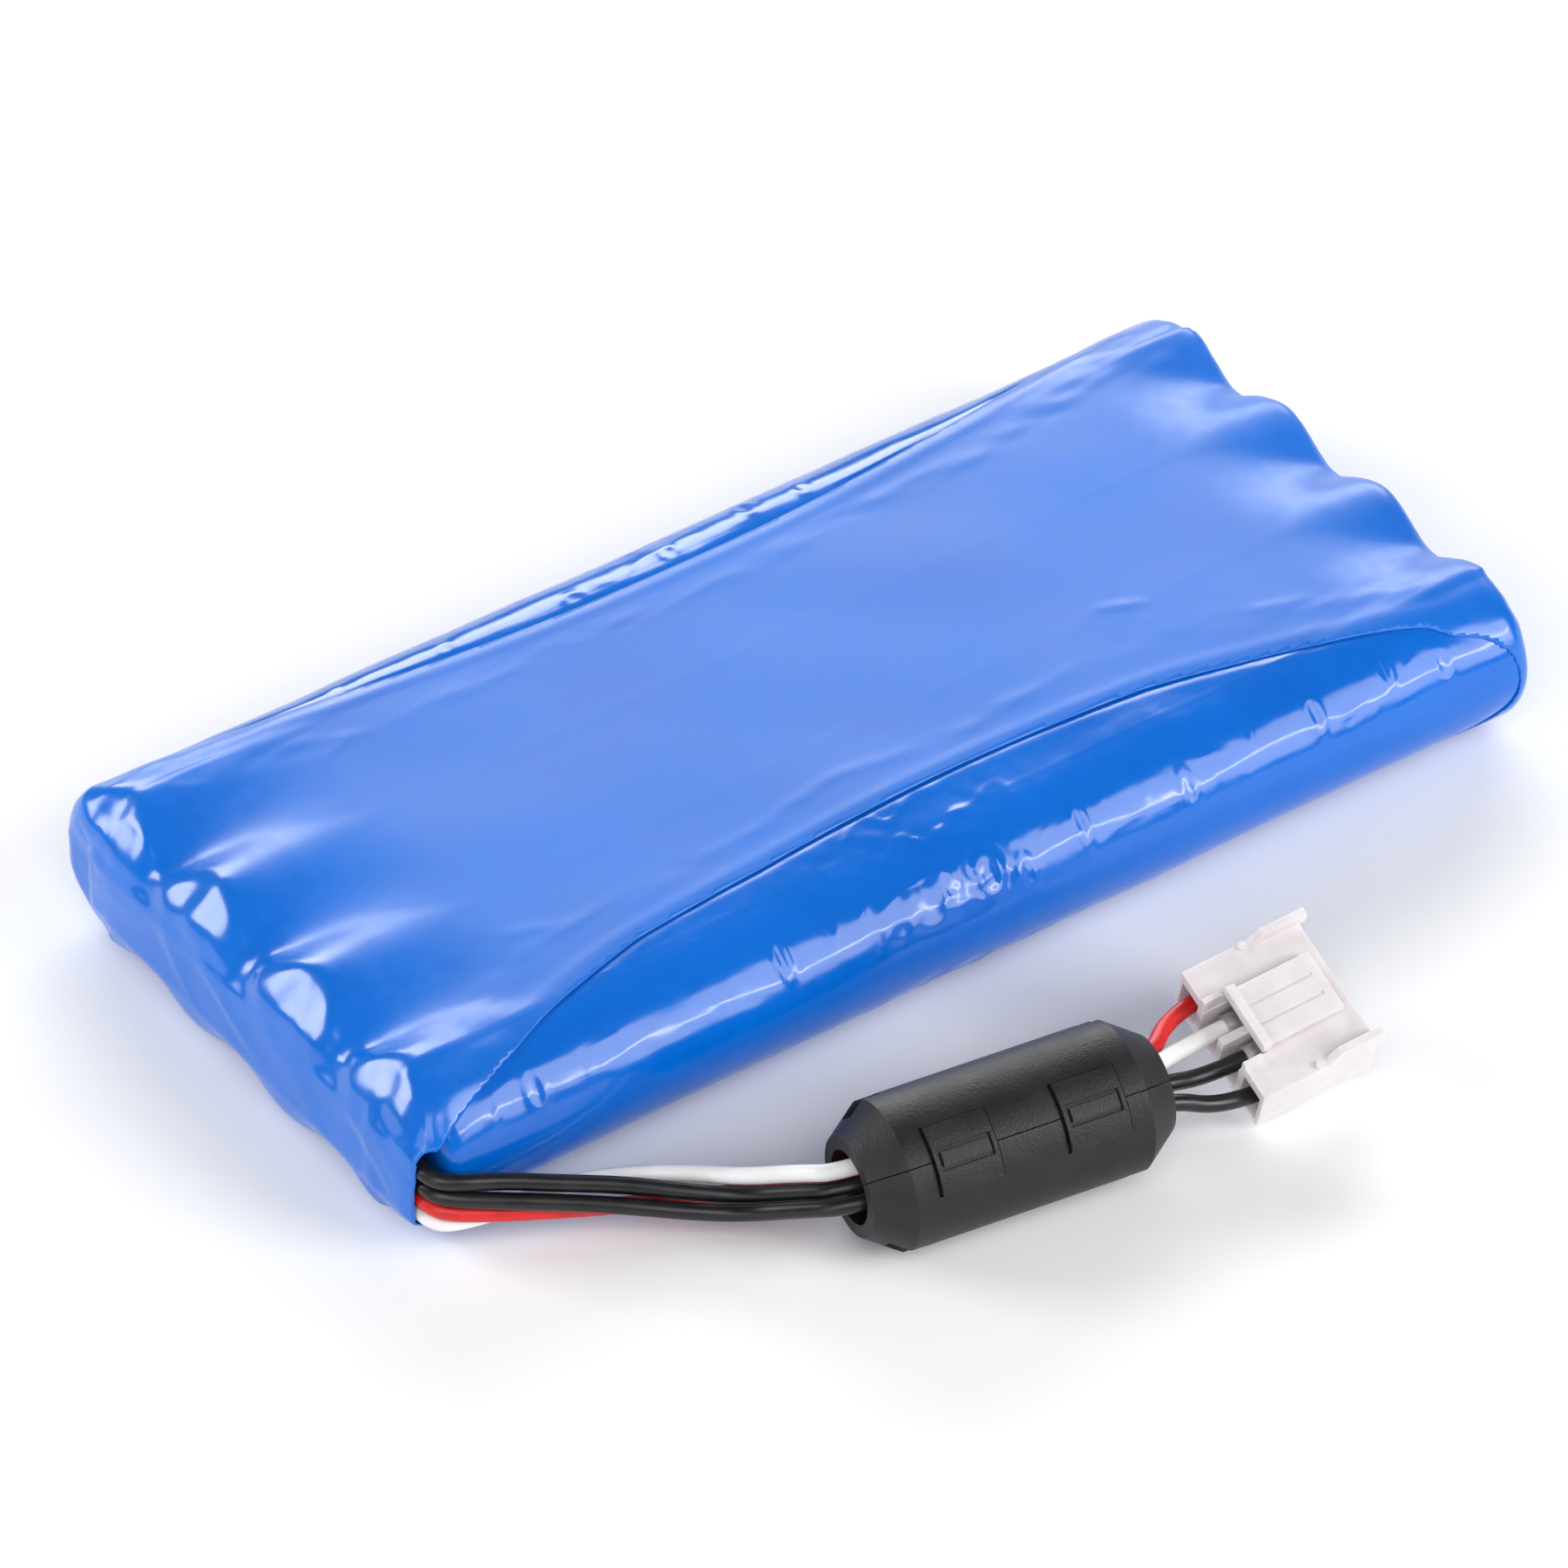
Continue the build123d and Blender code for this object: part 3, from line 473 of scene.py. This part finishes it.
def mesh_piece(name, places, faces, body):
    """Smooth-shaded mesh piece from points in millimetres in the pack's frame."""
    used = sorted({corner for face in faces for corner in face})
    number = {old: new for new, old in enumerate(used)}
    mesh = bpy.data.meshes.new(name)
    mesh.from_pydata((places[used] * MM).tolist(), [],
                     [[number[corner] for corner in face] for face in faces])
    mesh.validate()
    mesh.update()
    mesh.polygons.foreach_set("use_smooth", [True] * len(mesh.polygons))
    piece = bpy.data.objects.new(name, mesh)
    bpy.context.scene.collection.objects.link(piece)
    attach(piece, body)
    return piece


# Shallow puckers in the inner film where air was caught: x and distance round the section
# from mid-height, half width along X, half height and depth. First the wires' side.
NEAR_PUCKERS = (
    (-60.8, 6.8, 0.8, 2.2, 0.07), (-55.4, 6.0, 1.0, 2.4, 0.05), (-24.7, 7.3, 0.7, 2.2, 0.07),
    (-18.3, 8.6, 0.7, 1.8, 0.05), (0.8, 6.2, 1.3, 2.2, 0.10), (5.0, 4.6, 0.9, 1.8, 0.06),
    (-4.2, 7.0, 0.7, 1.6, 0.05), (12.7, 6.8, 0.7, 2.3, 0.06), (25.8, 5.3, 0.8, 2.0, 0.05),
    (34.5, 8.3, 0.6, 1.4, 0.04), (42.9, 6.8, 0.8, 2.2, 0.06), (52.5, 8.0, 0.8, 1.8, 0.06),
    (59.4, 5.9, 0.9, 2.0, 0.06),
)
FAR_PUCKERS = (
    (13.0, 10.6, 1.0, 1.8, 0.06), (2.0, 12.6, 1.0, 1.4, 0.06), (-10.5, 13.6, 1.2, 1.2, 0.05),
    (19.7, 11.8, 0.8, 1.4, 0.05), (-26.0, 12.4, 0.9, 1.2, 0.04), (-39.0, 11.6, 0.9, 1.2, 0.04),
)
# Longer slack folds that lean across the flank: x, rise, length, lean in radians and depth.
FLANK_FOLDS = (
    (-63.5, 5.2, 4.0, 0.35, 0.05), (-46.0, 7.4, 7.0, 0.12, 0.04), (-36.0, 5.4, 6.0, -0.10, 0.04),
    (-11.0, 7.8, 4.5, 0.35, 0.05), (-7.5, 5.0, 3.0, -0.45, 0.05), (8.2, 7.4, 3.6, 0.50, 0.05),
    (17.8, 5.0, 6.0, 0.10, 0.04), (30.0, 7.6, 5.0, -0.16, 0.04), (47.5, 5.6, 5.0, 0.22, 0.05),
    (56.0, 7.6, 3.4, 0.50, 0.05), (62.5, 6.0, 3.0, -0.40, 0.05),
)
# Folds in the outer film's top face: start, end, half width and height.
TOP_FOLDS = (
    (31.9, -7.1, 38.7, -10.2, 0.45, 0.10), (-43.0, 24.2, -55.0, 24.6, 0.40, 0.07),
    (-57.5, 22.0, -64.0, 25.4, 0.40, 0.09), (-60.0, 19.6, -64.5, 21.5, 0.35, 0.06),
    (-41.0, 20.6, -47.5, 18.8, 0.45, 0.05), (44.0, -16.5, 55.0, -19.8, 0.55, 0.06),
    (-48.0, -14.2, -41.0, -16.6, 0.50, 0.05), (20.0, 21.0, 41.0, 21.8, 0.60, 0.04),
)


# Shares of its length by which a fold has risen, and from which it falls.
FOLD_RISEN = 0.25
FOLD_FALLS = 0.6


def fold(along, across, length, width):
    """Raised crease that fades out at both ends."""
    risen = ramp(along, 0, length * FOLD_RISEN)
    return bump(across, 0, width) * risen * ramp(-along, -length, -length * FOLD_FALLS)


# Heights of the outer film's unevenness: broad waves; along the opening a pressed lip, a welt
# and a fold; folds gathered at the corners; creases and crumples at the ends.
BROAD_HEIGHT = 0.03
LIP_DEPTH = 0.10
WELT_HEIGHT = 0.07
LIP_FOLD_HEIGHT = 0.055
GATHERED_HEIGHT = 0.035
END_CREASE_HEIGHT = 0.15
END_CRUMPLE_HEIGHT = 0.045
END_DRAWN_IN = 0.05
# What is left of the relief under the pack.
UNDERSIDE_RELIEF = 0.15


def outer_relief(x, y, z):
    """How far the outer film stands off its ideal surface."""
    distance = edge_distance(x, y, z)
    broad = waves(11, 10, (14, 40), x, y, z)
    fine = waves(12, 14, (3.5, 9), x, y * 1.6, z)
    relief = BROAD_HEIGHT * broad
    relief = relief - LIP_DEPTH * np.exp(-(np.maximum(distance, 0) / 0.35) ** 2)
    relief = relief + WELT_HEIGHT * bump(distance, 1.35, 0.55)
    relief = relief + (LIP_FOLD_HEIGHT * bump(distance, 5.0 + 0.5 * broad, 1.1)
                       * (0.6 + 0.4 * fine))
    # Small folds gather where the film turns tightly into the corners.
    gathered = ramp(np.abs(x), 38, 62) * ramp(np.abs(y), 18, 24) * ramp(z, 0, 5)
    relief = relief + GATHERED_HEIGHT * gathered * fine * np.exp(-np.maximum(distance - 7, 0) / 4)
    # The ends are crumpled between smooth facets.
    crease = ridges(13, 4, (9, 17), -0.7, x, y, z)
    end = ramp(-x, 63.5, 67.5) * ramp(z, -6.0, 1.0) + 0.3 * ramp(x, 65, 69) * ramp(z, -5.0, 2.0)
    crumple = ridges(14, 5, (4.5, 9), -0.6, x, y, z)
    relief = relief + end * (END_CREASE_HEIGHT * crease + END_CRUMPLE_HEIGHT * crumple
                             - END_DRAWN_IN)
    top = ramp(z, 3, 6)
    for from_x, from_y, to_x, to_y, width, height in TOP_FOLDS:
        run = np.hypot(to_x - from_x, to_y - from_y)
        lead_x, lead_y = (to_x - from_x) / run, (to_y - from_y) / run
        along = (x - from_x) * lead_x + (y - from_y) * lead_y
        across = (y - from_y) * lead_x - (x - from_x) * lead_y
        relief = relief + height * top * fold(along, across, run, width)
    # The underside lies nearly flat on the floor.
    return relief * (UNDERSIDE_RELIEF + (1 - UNDERSIDE_RELIEF) * ramp(z, -8.6, -6.5))


# Heights of the inner film's unevenness: slack, ripples and crinkles everywhere, a lengthwise
# rib, crinkles and pinches where the cells meet, puckers and ticks.
SLACK_HEIGHT = 0.045
RIPPLE_HEIGHT = 0.012
CRINKLE_HEIGHT = 0.010
DRAWN_IN = 0.01
RIB_HEIGHT, RIB_RISE, RIB_WIDTH = 0.035, 5.6, 0.55
MEETING_CRINKLE_HEIGHT = 0.045
PINCH_HEIGHT = 0.085
PUCKER_GAIN = 1.5
TICK_HEIGHT = 0.05
FLANK_TICKS = 44
FLANK_FOLD_WIDTH = 0.38
PRESSED_DEPTH = 0.10
DEEPEST_PUCKER = 0.11


def inner_relief(x, y, z):
    """How far the inner film stands off its ideal surface."""
    rise = girth(y, z)
    upper = ramp(z, -1.5, 0)
    slack = waves(21, 12, (9, 26), x * 0.7, y, z)
    crinkle = waves(22, 14, (1.8, 4.5), x, y, z)
    ripple = waves(24, 12, (4, 9), x * 0.8, y, z)
    relief = (SLACK_HEIGHT * slack + RIPPLE_HEIGHT * ripple
              + CRINKLE_HEIGHT * crinkle * ramp(slack, 0.0, 1.0) - DRAWN_IN)
    # A faint rib runs lengthwise where the film is tightest.
    rib = rise - RIB_RISE - 0.5 * waves(23, 6, (18, 50), x)
    relief = relief + RIB_HEIGHT * bump(rib, 0, RIB_WIDTH) * (y < 0) * upper
    # The middle of the wires' side, where the two cells of a column meet, is the most creased.
    meeting = bump(x, -2, 10) * (y < 0) + 0.5 * bump(x, 0, 6.0) * (y > 0)
    pinched = ridges(25, 5, (3.5, 7.0), -0.5, x, y, z)
    relief = relief + (meeting * (MEETING_CRINKLE_HEIGHT * crinkle + PINCH_HEIGHT * pinched)
                       * ramp(rise, 2.5, 5))
    for puckers, side in ((NEAR_PUCKERS, -1), (FAR_PUCKERS, 1)):
        here = (np.sign(y) == side) * upper
        for place_x, place_rise, half_x, half_rise, depth in puckers:
            reach = np.hypot((x - place_x) / half_x, (rise - place_rise) / half_rise)
            relief = relief + PUCKER_GAIN * here * depth * (bump(reach, 1.0, 0.34)
                                                            - 0.5 * bump(reach, 0, 0.5))
    ticks = np.random.default_rng(31)
    for _ in range(FLANK_TICKS):
        place_x, place_rise = ticks.uniform(-62, 62), ticks.uniform(3.4, 9.4)
        half_x, half_rise = ticks.uniform(0.25, 0.55), ticks.uniform(0.6, 1.9)
        reach = np.hypot((x - place_x) / half_x, (rise - place_rise) / half_rise)
        relief = relief + (upper * ticks.uniform(-TICK_HEIGHT, TICK_HEIGHT)
                           * bump(reach, 0, 1.0))
    for place_x, place_rise, run, lean, height in FLANK_FOLDS:
        along = (x - place_x) * math.cos(lean) + (rise - place_rise) * math.sin(lean) + run / 2
        across = (rise - place_rise) * math.cos(lean) - (x - place_x) * math.sin(lean)
        relief = relief + upper * (y < 0) * height * fold(along, across, run, FLANK_FOLD_WIDTH)
    # Under the outer film and along its edge it is pressed flat.
    distance = edge_distance(x, y, z)
    relief = relief * ramp(-distance, 0.0, 2.5) - PRESSED_DEPTH * ramp(distance, -0.9, 0.1)
    return np.maximum(relief, -DEEPEST_PUCKER)


# Grid lines of both films: closest where they turn over an edge or are most creased.
TURN_STEPS = 30
outer_x = spread([(-2, -1, TURN_STEPS), (-1, -0.92, 24), (-0.92, 1, 158), (1, 2, TURN_STEPS)])
outer_y = spread([(-2, -1, TURN_STEPS), (-1, 1, 88), (1, 2, TURN_STEPS)])
inner_x = spread([(-2, -1, 14), (-1, 1, 330), (1, 2, 14)])
inner_y = spread([(-2, -1, 40), (-1, -0.72, 16), (-0.72, 0.72, 24), (0.72, 1, 16), (1, 2, 40)])


def inner_surface(x, y, z):
    """The inner film follows the outer one wherever that is drawn in tighter."""
    return np.maximum(inner_field(x, y, z), outer_field(x, y, z) + FILM_GAP)


def in_pack_frame(places):
    return places + np.array([0, 0, AXIS_Z])


outer_places, outer_quads = both_halves(outer_field, outer_x, outer_y, outer_relief)
outer_places, outer_faces = cut_away(outer_places, outer_quads, kept_distance)
outer_film = mesh_piece("outer_film", in_pack_frame(outer_places), outer_faces,
                        "pack")
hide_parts("outer_sleeve")
inner_places, inner_quads = both_halves(inner_surface, inner_x, inner_y, inner_relief)
inner_film = mesh_piece("inner_film", in_pack_frame(inner_places), inner_quads.tolist(),
                        "pack")
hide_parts("inner_sleeve")

OUTER_FILM_THICKNESS = 0.17 * MM
thickness = outer_film.modifiers.new("thickness", "SOLIDIFY")
thickness.thickness = OUTER_FILM_THICKNESS
thickness.offset = -1.0
thickness.use_even_offset = True

# ------------------------------------------------------------------ material helpers
SCALE_TO_MM = 1000.0


class Nodes:
    """Short hand for a material's node tree, with positions in millimetres."""

    def __init__(self, name):
        self.material = bpy.data.materials.new(name)
        self.material.use_nodes = True
        self.tree = self.material.node_tree
        self.shader = self.tree.nodes["Principled BSDF"]
        place = self.tree.nodes.new("ShaderNodeTexCoord").outputs["Object"]
        self.place = self.vector("MULTIPLY", place, (SCALE_TO_MM,) * 3)

    def vector(self, operation, a, b):
        node = self.tree.nodes.new("ShaderNodeVectorMath")
        node.operation = operation
        for socket, value in zip(node.inputs, (a, b)):
            self.feed(socket, value)
        return node.outputs[0]

    def axes(self):
        node = self.tree.nodes.new("ShaderNodeSeparateXYZ")
        self.tree.links.new(self.place, node.inputs[0])
        return tuple(node.outputs)

    def feed(self, socket, value):
        if isinstance(value, bpy.types.NodeSocket):
            self.tree.links.new(value, socket)
        else:
            socket.default_value = value

    def math(self, operation, *values, clamp=False):
        node = self.tree.nodes.new("ShaderNodeMath")
        node.operation = operation
        node.use_clamp = clamp
        for socket, value in zip(node.inputs, values):
            self.feed(socket, value)
        return node.outputs[0]

    def noise(self, scale, detail=3.0, roughness=0.55, distortion=0.0, stretch=(1, 1, 1)):
        """Noise about 0.5; scale is in cycles a millimetre."""
        node = self.tree.nodes.new("ShaderNodeTexNoise")
        self.feed(node.inputs["Vector"], self.vector("MULTIPLY", self.place, stretch))
        node.inputs["Scale"].default_value = scale
        node.inputs["Detail"].default_value = detail
        node.inputs["Roughness"].default_value = roughness
        node.inputs["Distortion"].default_value = distortion
        return node.outputs["Fac"]

    def cells(self, scale):
        node = self.tree.nodes.new("ShaderNodeTexVoronoi")
        self.feed(node.inputs["Vector"], self.place)
        node.inputs["Scale"].default_value = scale
        return node.outputs["Distance"]

    def spread(self, value, low, high, out_low, out_high):
        node = self.tree.nodes.new("ShaderNodeMapRange")
        for name, number in (("Value", value), ("From Min", low), ("From Max", high),
                             ("To Min", out_low), ("To Max", out_high)):
            self.feed(node.inputs[name], number)
        return node.outputs["Result"]

    def blend(self, share, a, b):
        node = self.tree.nodes.new("ShaderNodeMix")
        node.data_type = "RGBA"
        self.feed(node.inputs["Factor"], share)
        self.feed(node.inputs["A"], a)
        self.feed(node.inputs["B"], b)
        return node.outputs["Result"]

    def tint(self, tone, deep, pale, low=0.35, high=0.65):
        """Colour from deep to pale as the tone goes from low to high."""
        return self.blend(self.spread(tone, low, high, 0.0, 1.0), deep, pale)

    def bump(self, height, depth_mm, strength=1.0, before=None):
        """Bump whose height of 1 stands depth_mm proud."""
        node = self.tree.nodes.new("ShaderNodeBump")
        node.inputs["Strength"].default_value = strength
        node.inputs["Distance"].default_value = depth_mm * MM
        self.feed(node.inputs["Height"], height)
        if before is not None:
            self.tree.links.new(before, node.inputs["Normal"])
        return node.outputs["Normal"]

    def edge_wear(self):
        """About 0.5 on flat ground, more on outward edges."""
        node = self.tree.nodes.new("ShaderNodeNewGeometry")
        return node.outputs["Pointiness"]

    def finish(self, **sockets):
        names = {"color": "Base Color", "roughness": "Roughness", "normal": "Normal",
                 "metallic": "Metallic", "specular": "Specular IOR Level",
                 "coat": "Coat Weight", "coat_roughness": "Coat Roughness", "ior": "IOR",
                 "subsurface": "Subsurface Weight", "radius": "Subsurface Radius",
                 "subsurface_scale": "Subsurface Scale"}
        for name, value in sockets.items():
            self.feed(self.shader.inputs[names[name]], value)
        return self.material


def rgb(red, green, blue):
    return (red, green, blue, 1.0)


# ------------------------------------------------------------------ materials
# Where the film turns from slack to taut, in millimetres along X and out from the middle.
TAUT_END = (-60.5, -66.8)
TAUT_FLANK = (27.0, 31.5)
# Depth of its fine grain and scratches, as a share of its orange peel's.
GRAIN_SHARE = 0.04


def film(name, deep, pale, slack_roughness, taut_roughness, orange_peel, scuffs, gloss):
    """Blue shrink film: tone drifts where it is stretched, faint orange peel, light scuffs,
    and another gloss where it is drawn tight over the near end and the flanks."""
    n = Nodes(name)
    drift = n.noise(0.05, 2.0)
    mottle = n.noise(0.6, 4.0)
    tone = n.math("ADD", n.math("MULTIPLY", drift, 0.7), n.math("MULTIPLY", mottle, 0.3))
    color = n.tint(tone, deep, pale)
    scratch = n.noise(1.1, 5.0, 0.7, 0.6, (0.25, 1.6, 1.6))
    worn = n.math("MULTIPLY", n.spread(scratch, 0.60, 0.75, 0.0, 1.0), scuffs, clamp=True)
    x, y, _ = n.axes()
    taut = n.math("MAXIMUM", n.spread(x, *TAUT_END, 0.0, 1.0),
                  n.spread(n.math("ABSOLUTE", y), *TAUT_FLANK, 0.0, 1.0))
    cloud = n.math("ADD", n.math("MULTIPLY", drift, 0.6), n.math("MULTIPLY", mottle, 0.4))
    slack = n.spread(cloud, 0.36, 0.64, *slack_roughness)
    tight = n.spread(mottle, 0.3, 0.7, taut_roughness, taut_roughness + 0.06)
    share = n.math("SUBTRACT", 1.0, taut)
    roughness = n.math("ADD", n.math("MULTIPLY", slack, share), n.math("MULTIPLY", tight, taut))
    roughness = n.math("ADD", roughness, worn)
    peel = n.bump(n.noise(0.9, 3.0, 0.5), orange_peel, 1.0)
    grain = n.bump(n.noise(9.0, 2.0, 0.5), orange_peel * GRAIN_SHARE, 1.0, peel)
    lines = n.bump(scratch, orange_peel * GRAIN_SHARE, 1.0, grain)
    n.tree.links.new(peel, n.shader.inputs["Coat Normal"])
    return n.finish(color=color, roughness=roughness, normal=lines, specular=0.5, ior=1.5,
                    coat=gloss, coat_roughness=0.24)


outer_blue = film("outer_film", rgb(0.0, 0.128, 0.58), rgb(0.0, 0.150, 0.66),
                  slack_roughness=(0.38, 0.54), taut_roughness=0.16, orange_peel=0.010,
                  scuffs=0.08, gloss=0.26)
inner_blue = film("inner_film", rgb(0.0, 0.115, 0.54), rgb(0.0, 0.138, 0.62),
                  slack_roughness=(0.11, 0.19), taut_roughness=0.12, orange_peel=0.006,
                  scuffs=0.08, gloss=0.0)


def insulation(name, deep, pale, roughness):
    """Extruded wire insulation: soft tone that drifts at random, dust specks and a faint bumpy
    skin.
    """
    n = Nodes(name)
    tone = n.noise(0.25, 4.0)
    speck = n.spread(n.noise(6.0, 2.0), 0.66, 0.72, 0.0, 1.0)
    color = n.tint(tone, deep, pale)
    color = n.blend(n.math("MULTIPLY", speck, 0.25), color, pale)
    rough = n.spread(tone, 0.3, 0.7, roughness, roughness + 0.10)
    skin = n.bump(n.noise(2.2, 3.0, 0.6), 0.010, 1.0)
    fine = n.bump(n.noise(16.0, 2.0), 0.0015, 1.0, skin)
    return n.finish(color=color, roughness=rough, normal=fine, specular=0.5)


wire_finish = {
    "black": insulation("black_wire", rgb(0.003, 0.003, 0.004), rgb(0.010, 0.010, 0.012),
                        roughness=0.28),
    "red": insulation("red_wire", rgb(0.54, 0.007, 0.008), rgb(0.70, 0.016, 0.014),
                      roughness=0.34),
    "white": insulation("white_wire", rgb(0.80, 0.80, 0.80), rgb(0.90, 0.90, 0.90),
                        roughness=0.36),
}


def moulded(name, deep, pale, roughness, grain_scale, grain_depth, wear=0.30, **more):
    """Moulded plastic with a spark-eroded grain, paler along rubbed edges."""
    n = Nodes(name)
    tone = n.noise(0.3, 3.0)
    color = n.tint(tone, deep, pale)
    rubbed = n.spread(n.edge_wear(), 0.54, 0.68, 0.0, wear)
    color = n.blend(n.math("MULTIPLY", rubbed, n.noise(1.5, 3.0), clamp=True), color,
                    rgb(*(min(1.0, 1.5 * value + 0.02) for value in pale[:3])))
    rough = n.math("SUBTRACT", n.spread(tone, 0.3, 0.7, roughness, roughness + 0.08),
                   n.math("MULTIPLY", rubbed, 0.3))
    pits = n.bump(n.cells(grain_scale), grain_depth, 1.0)
    soft = n.bump(n.noise(grain_scale * 0.35, 4.0), grain_depth * 1.4, 1.0, pits)
    return n.finish(color=color, roughness=rough, normal=soft, **more)


ferrite_plastic = moulded("ferrite_case", rgb(0.005, 0.005, 0.007), rgb(0.011, 0.011, 0.014),
                          roughness=0.48, grain_scale=4.5, grain_depth=0.024, specular=0.42)
nylon = moulded("nylon", rgb(0.70, 0.655, 0.67), rgb(0.77, 0.725, 0.74),
                roughness=0.32, grain_scale=5.0, grain_depth=0.002, wear=0.08, specular=0.5,
                subsurface=0.35, subsurface_scale=0.0012, radius=(1.0, 0.95, 0.85))


def plain_metal(name, deep, pale, roughness, stretch):
    """Drawn or plated metal with a lengthwise grain and dull spots."""
    n = Nodes(name)
    tone = n.noise(0.8, 4.0)
    grain = n.noise(2.5, 3.0, 0.6, 0.0, stretch)
    color = n.tint(tone, deep, pale, 0.3, 0.7)
    rough = n.math("ADD", n.spread(grain, 0.3, 0.7, roughness, roughness + 0.15),
                   n.spread(tone, 0.55, 0.75, 0.0, 0.15))
    return n.finish(color=color, roughness=rough, metallic=1.0,
                    normal=n.bump(grain, 0.004, 1.0))


def fibre(name, deep, pale, roughness):
    """Pressed fibre or paper: felted flecks and a matt skin."""
    n = Nodes(name)
    fleck = n.noise(1.8, 6.0, 0.7, 0.8)
    color = n.tint(fleck, deep, pale)
    rough = n.spread(fleck, 0.3, 0.7, roughness, roughness + 0.1)
    return n.finish(color=color, roughness=rough, normal=n.bump(fleck, 0.02, 1.0))


FINISHES = {
    "cell_steel": plain_metal("cell_steel", rgb(0.50, 0.50, 0.49), rgb(0.66, 0.66, 0.64),
                              roughness=0.25, stretch=(0.1, 1.5, 1.5)),
    "cell_cap_steel": plain_metal("cell_cap_steel", rgb(0.52, 0.51, 0.49),
                                  rgb(0.68, 0.67, 0.65),
                                  roughness=0.28, stretch=(1.5, 0.4, 1.5)),
    "nickel": plain_metal("nickel", rgb(0.55, 0.53, 0.49), rgb(0.72, 0.70, 0.66),
                          roughness=0.22, stretch=(1.5, 0.15, 1.5)),
    "tinned_contact": plain_metal("tinned_contact", rgb(0.62, 0.61, 0.58),
                                  rgb(0.78, 0.77, 0.75),
                                  roughness=0.24, stretch=(0.3, 1.5, 1.5)),
    "cell_jacket": moulded("cell_jacket", rgb(0.030, 0.18, 0.055), rgb(0.045, 0.25, 0.080),
                           roughness=0.30, grain_scale=2.5, grain_depth=0.004, specular=0.5),
    "insulating_paper": fibre("insulating_paper", rgb(0.62, 0.60, 0.54),
                              rgb(0.74, 0.72, 0.66), roughness=0.80),
    "fibre_board": fibre("fibre_board", rgb(0.30, 0.28, 0.20), rgb(0.42, 0.40, 0.31),
                         roughness=0.70),
    "sensor_epoxy": moulded("sensor_epoxy", rgb(0.012, 0.012, 0.014),
                            rgb(0.022, 0.022, 0.024),
                            roughness=0.25, grain_scale=2.0, grain_depth=0.010, specular=0.5),
    "fuse_case": moulded("fuse_case", rgb(0.30, 0.045, 0.030), rgb(0.42, 0.070, 0.045),
                         roughness=0.32, grain_scale=2.0, grain_depth=0.008, specular=0.5),
    "inner_film": inner_blue,
    "outer_film": outer_blue,
    "black_wire": wire_finish["black"],
    "red_wire": wire_finish["red"],
    "white_wire": wire_finish["white"],
    "ferrite": fibre("ferrite", rgb(0.020, 0.020, 0.021), rgb(0.034, 0.034, 0.035),
                     roughness=0.55),
    "ferrite_case": ferrite_plastic,
    "nylon": nylon,
}

for part in frame["record"]["subparts"]:
    piece = nodes[part["node"]]
    piece.data.materials.clear()
    piece.data.materials.append(FINISHES[part["material_slot"]])
for colour, piece in wires.items():
    piece.data.materials.append(wire_finish[colour.split("_")[0]])
outer_film.data.materials.append(outer_blue)
inner_film.data.materials.append(inner_blue)

# ------------------------------------------------------------------ floor
FLOOR_SIZE = 6.0
FLOOR_Z = -0.27 * MM
floor_mesh = bmesh.new()
bmesh.ops.create_grid(floor_mesh, x_segments=2, y_segments=2, size=FLOOR_SIZE / 2)
floor_data = bpy.data.meshes.new("floor")
floor_mesh.to_mesh(floor_data)
floor_mesh.free()
floor = bpy.data.objects.new("floor", floor_data)
floor.location = (0, 0, FLOOR_Z)
bpy.context.scene.collection.objects.link(floor)
paper = Nodes("studio_paper")
floor_data.materials.append(paper.finish(
    color=paper.blend(paper.noise(0.02, 2.0), rgb(0.93, 0.93, 0.93), rgb(0.95, 0.95, 0.95)),
    roughness=0.75, specular=0.2, normal=paper.bump(paper.noise(2.0, 3.0), 0.01, 0.3)))

# ------------------------------------------------------------------ light
WORLD_STRENGTH = 0.18
world = bpy.data.worlds.new("studio")
bpy.context.scene.world = world
world.use_nodes = True
world.node_tree.nodes["Background"].inputs["Color"].default_value = rgb(1.0, 1.0, 1.0)
world.node_tree.nodes["Background"].inputs["Strength"].default_value = WORLD_STRENGTH


def softbox(name, direction, distance, width, height, power):
    """Rectangular light aimed at the pack from a direction."""
    data = bpy.data.lights.new(name, "AREA")
    data.shape = "RECTANGLE"
    data.size = width
    data.size_y = height
    data.energy = power
    lamp = bpy.data.objects.new(name, data)
    bpy.context.scene.collection.objects.link(lamp)
    way = Vector(direction).normalized()
    lamp.location = way * distance
    lamp.rotation_euler = way.to_track_quat("Z", "Y").to_euler()


# Name, direction from the pack, distance, width, height and power.
softbox("softbox_right", (0.48, -0.78, 0.47), 1.1, 0.50, 0.80, 6.6)
softbox("softbox_strip", (0.48, -0.78, 0.40), 1.08, 0.55, 0.022, 1.5)
softbox("softbox_left", (-0.66, 0.60, 0.455), 1.2, 0.55, 0.42, 7.0)
softbox("softbox_back", (0.444, 0.624, 0.33), 1.4, 1.3, 0.5, 15.5)
softbox("softbox_front", (-0.40, -0.60, 0.69), 1.6, 1.15, 1.15, 10.5)
softbox("softbox_fill", (-0.85, -0.38, 0.36), 1.4, 0.8, 0.8, 3.0)
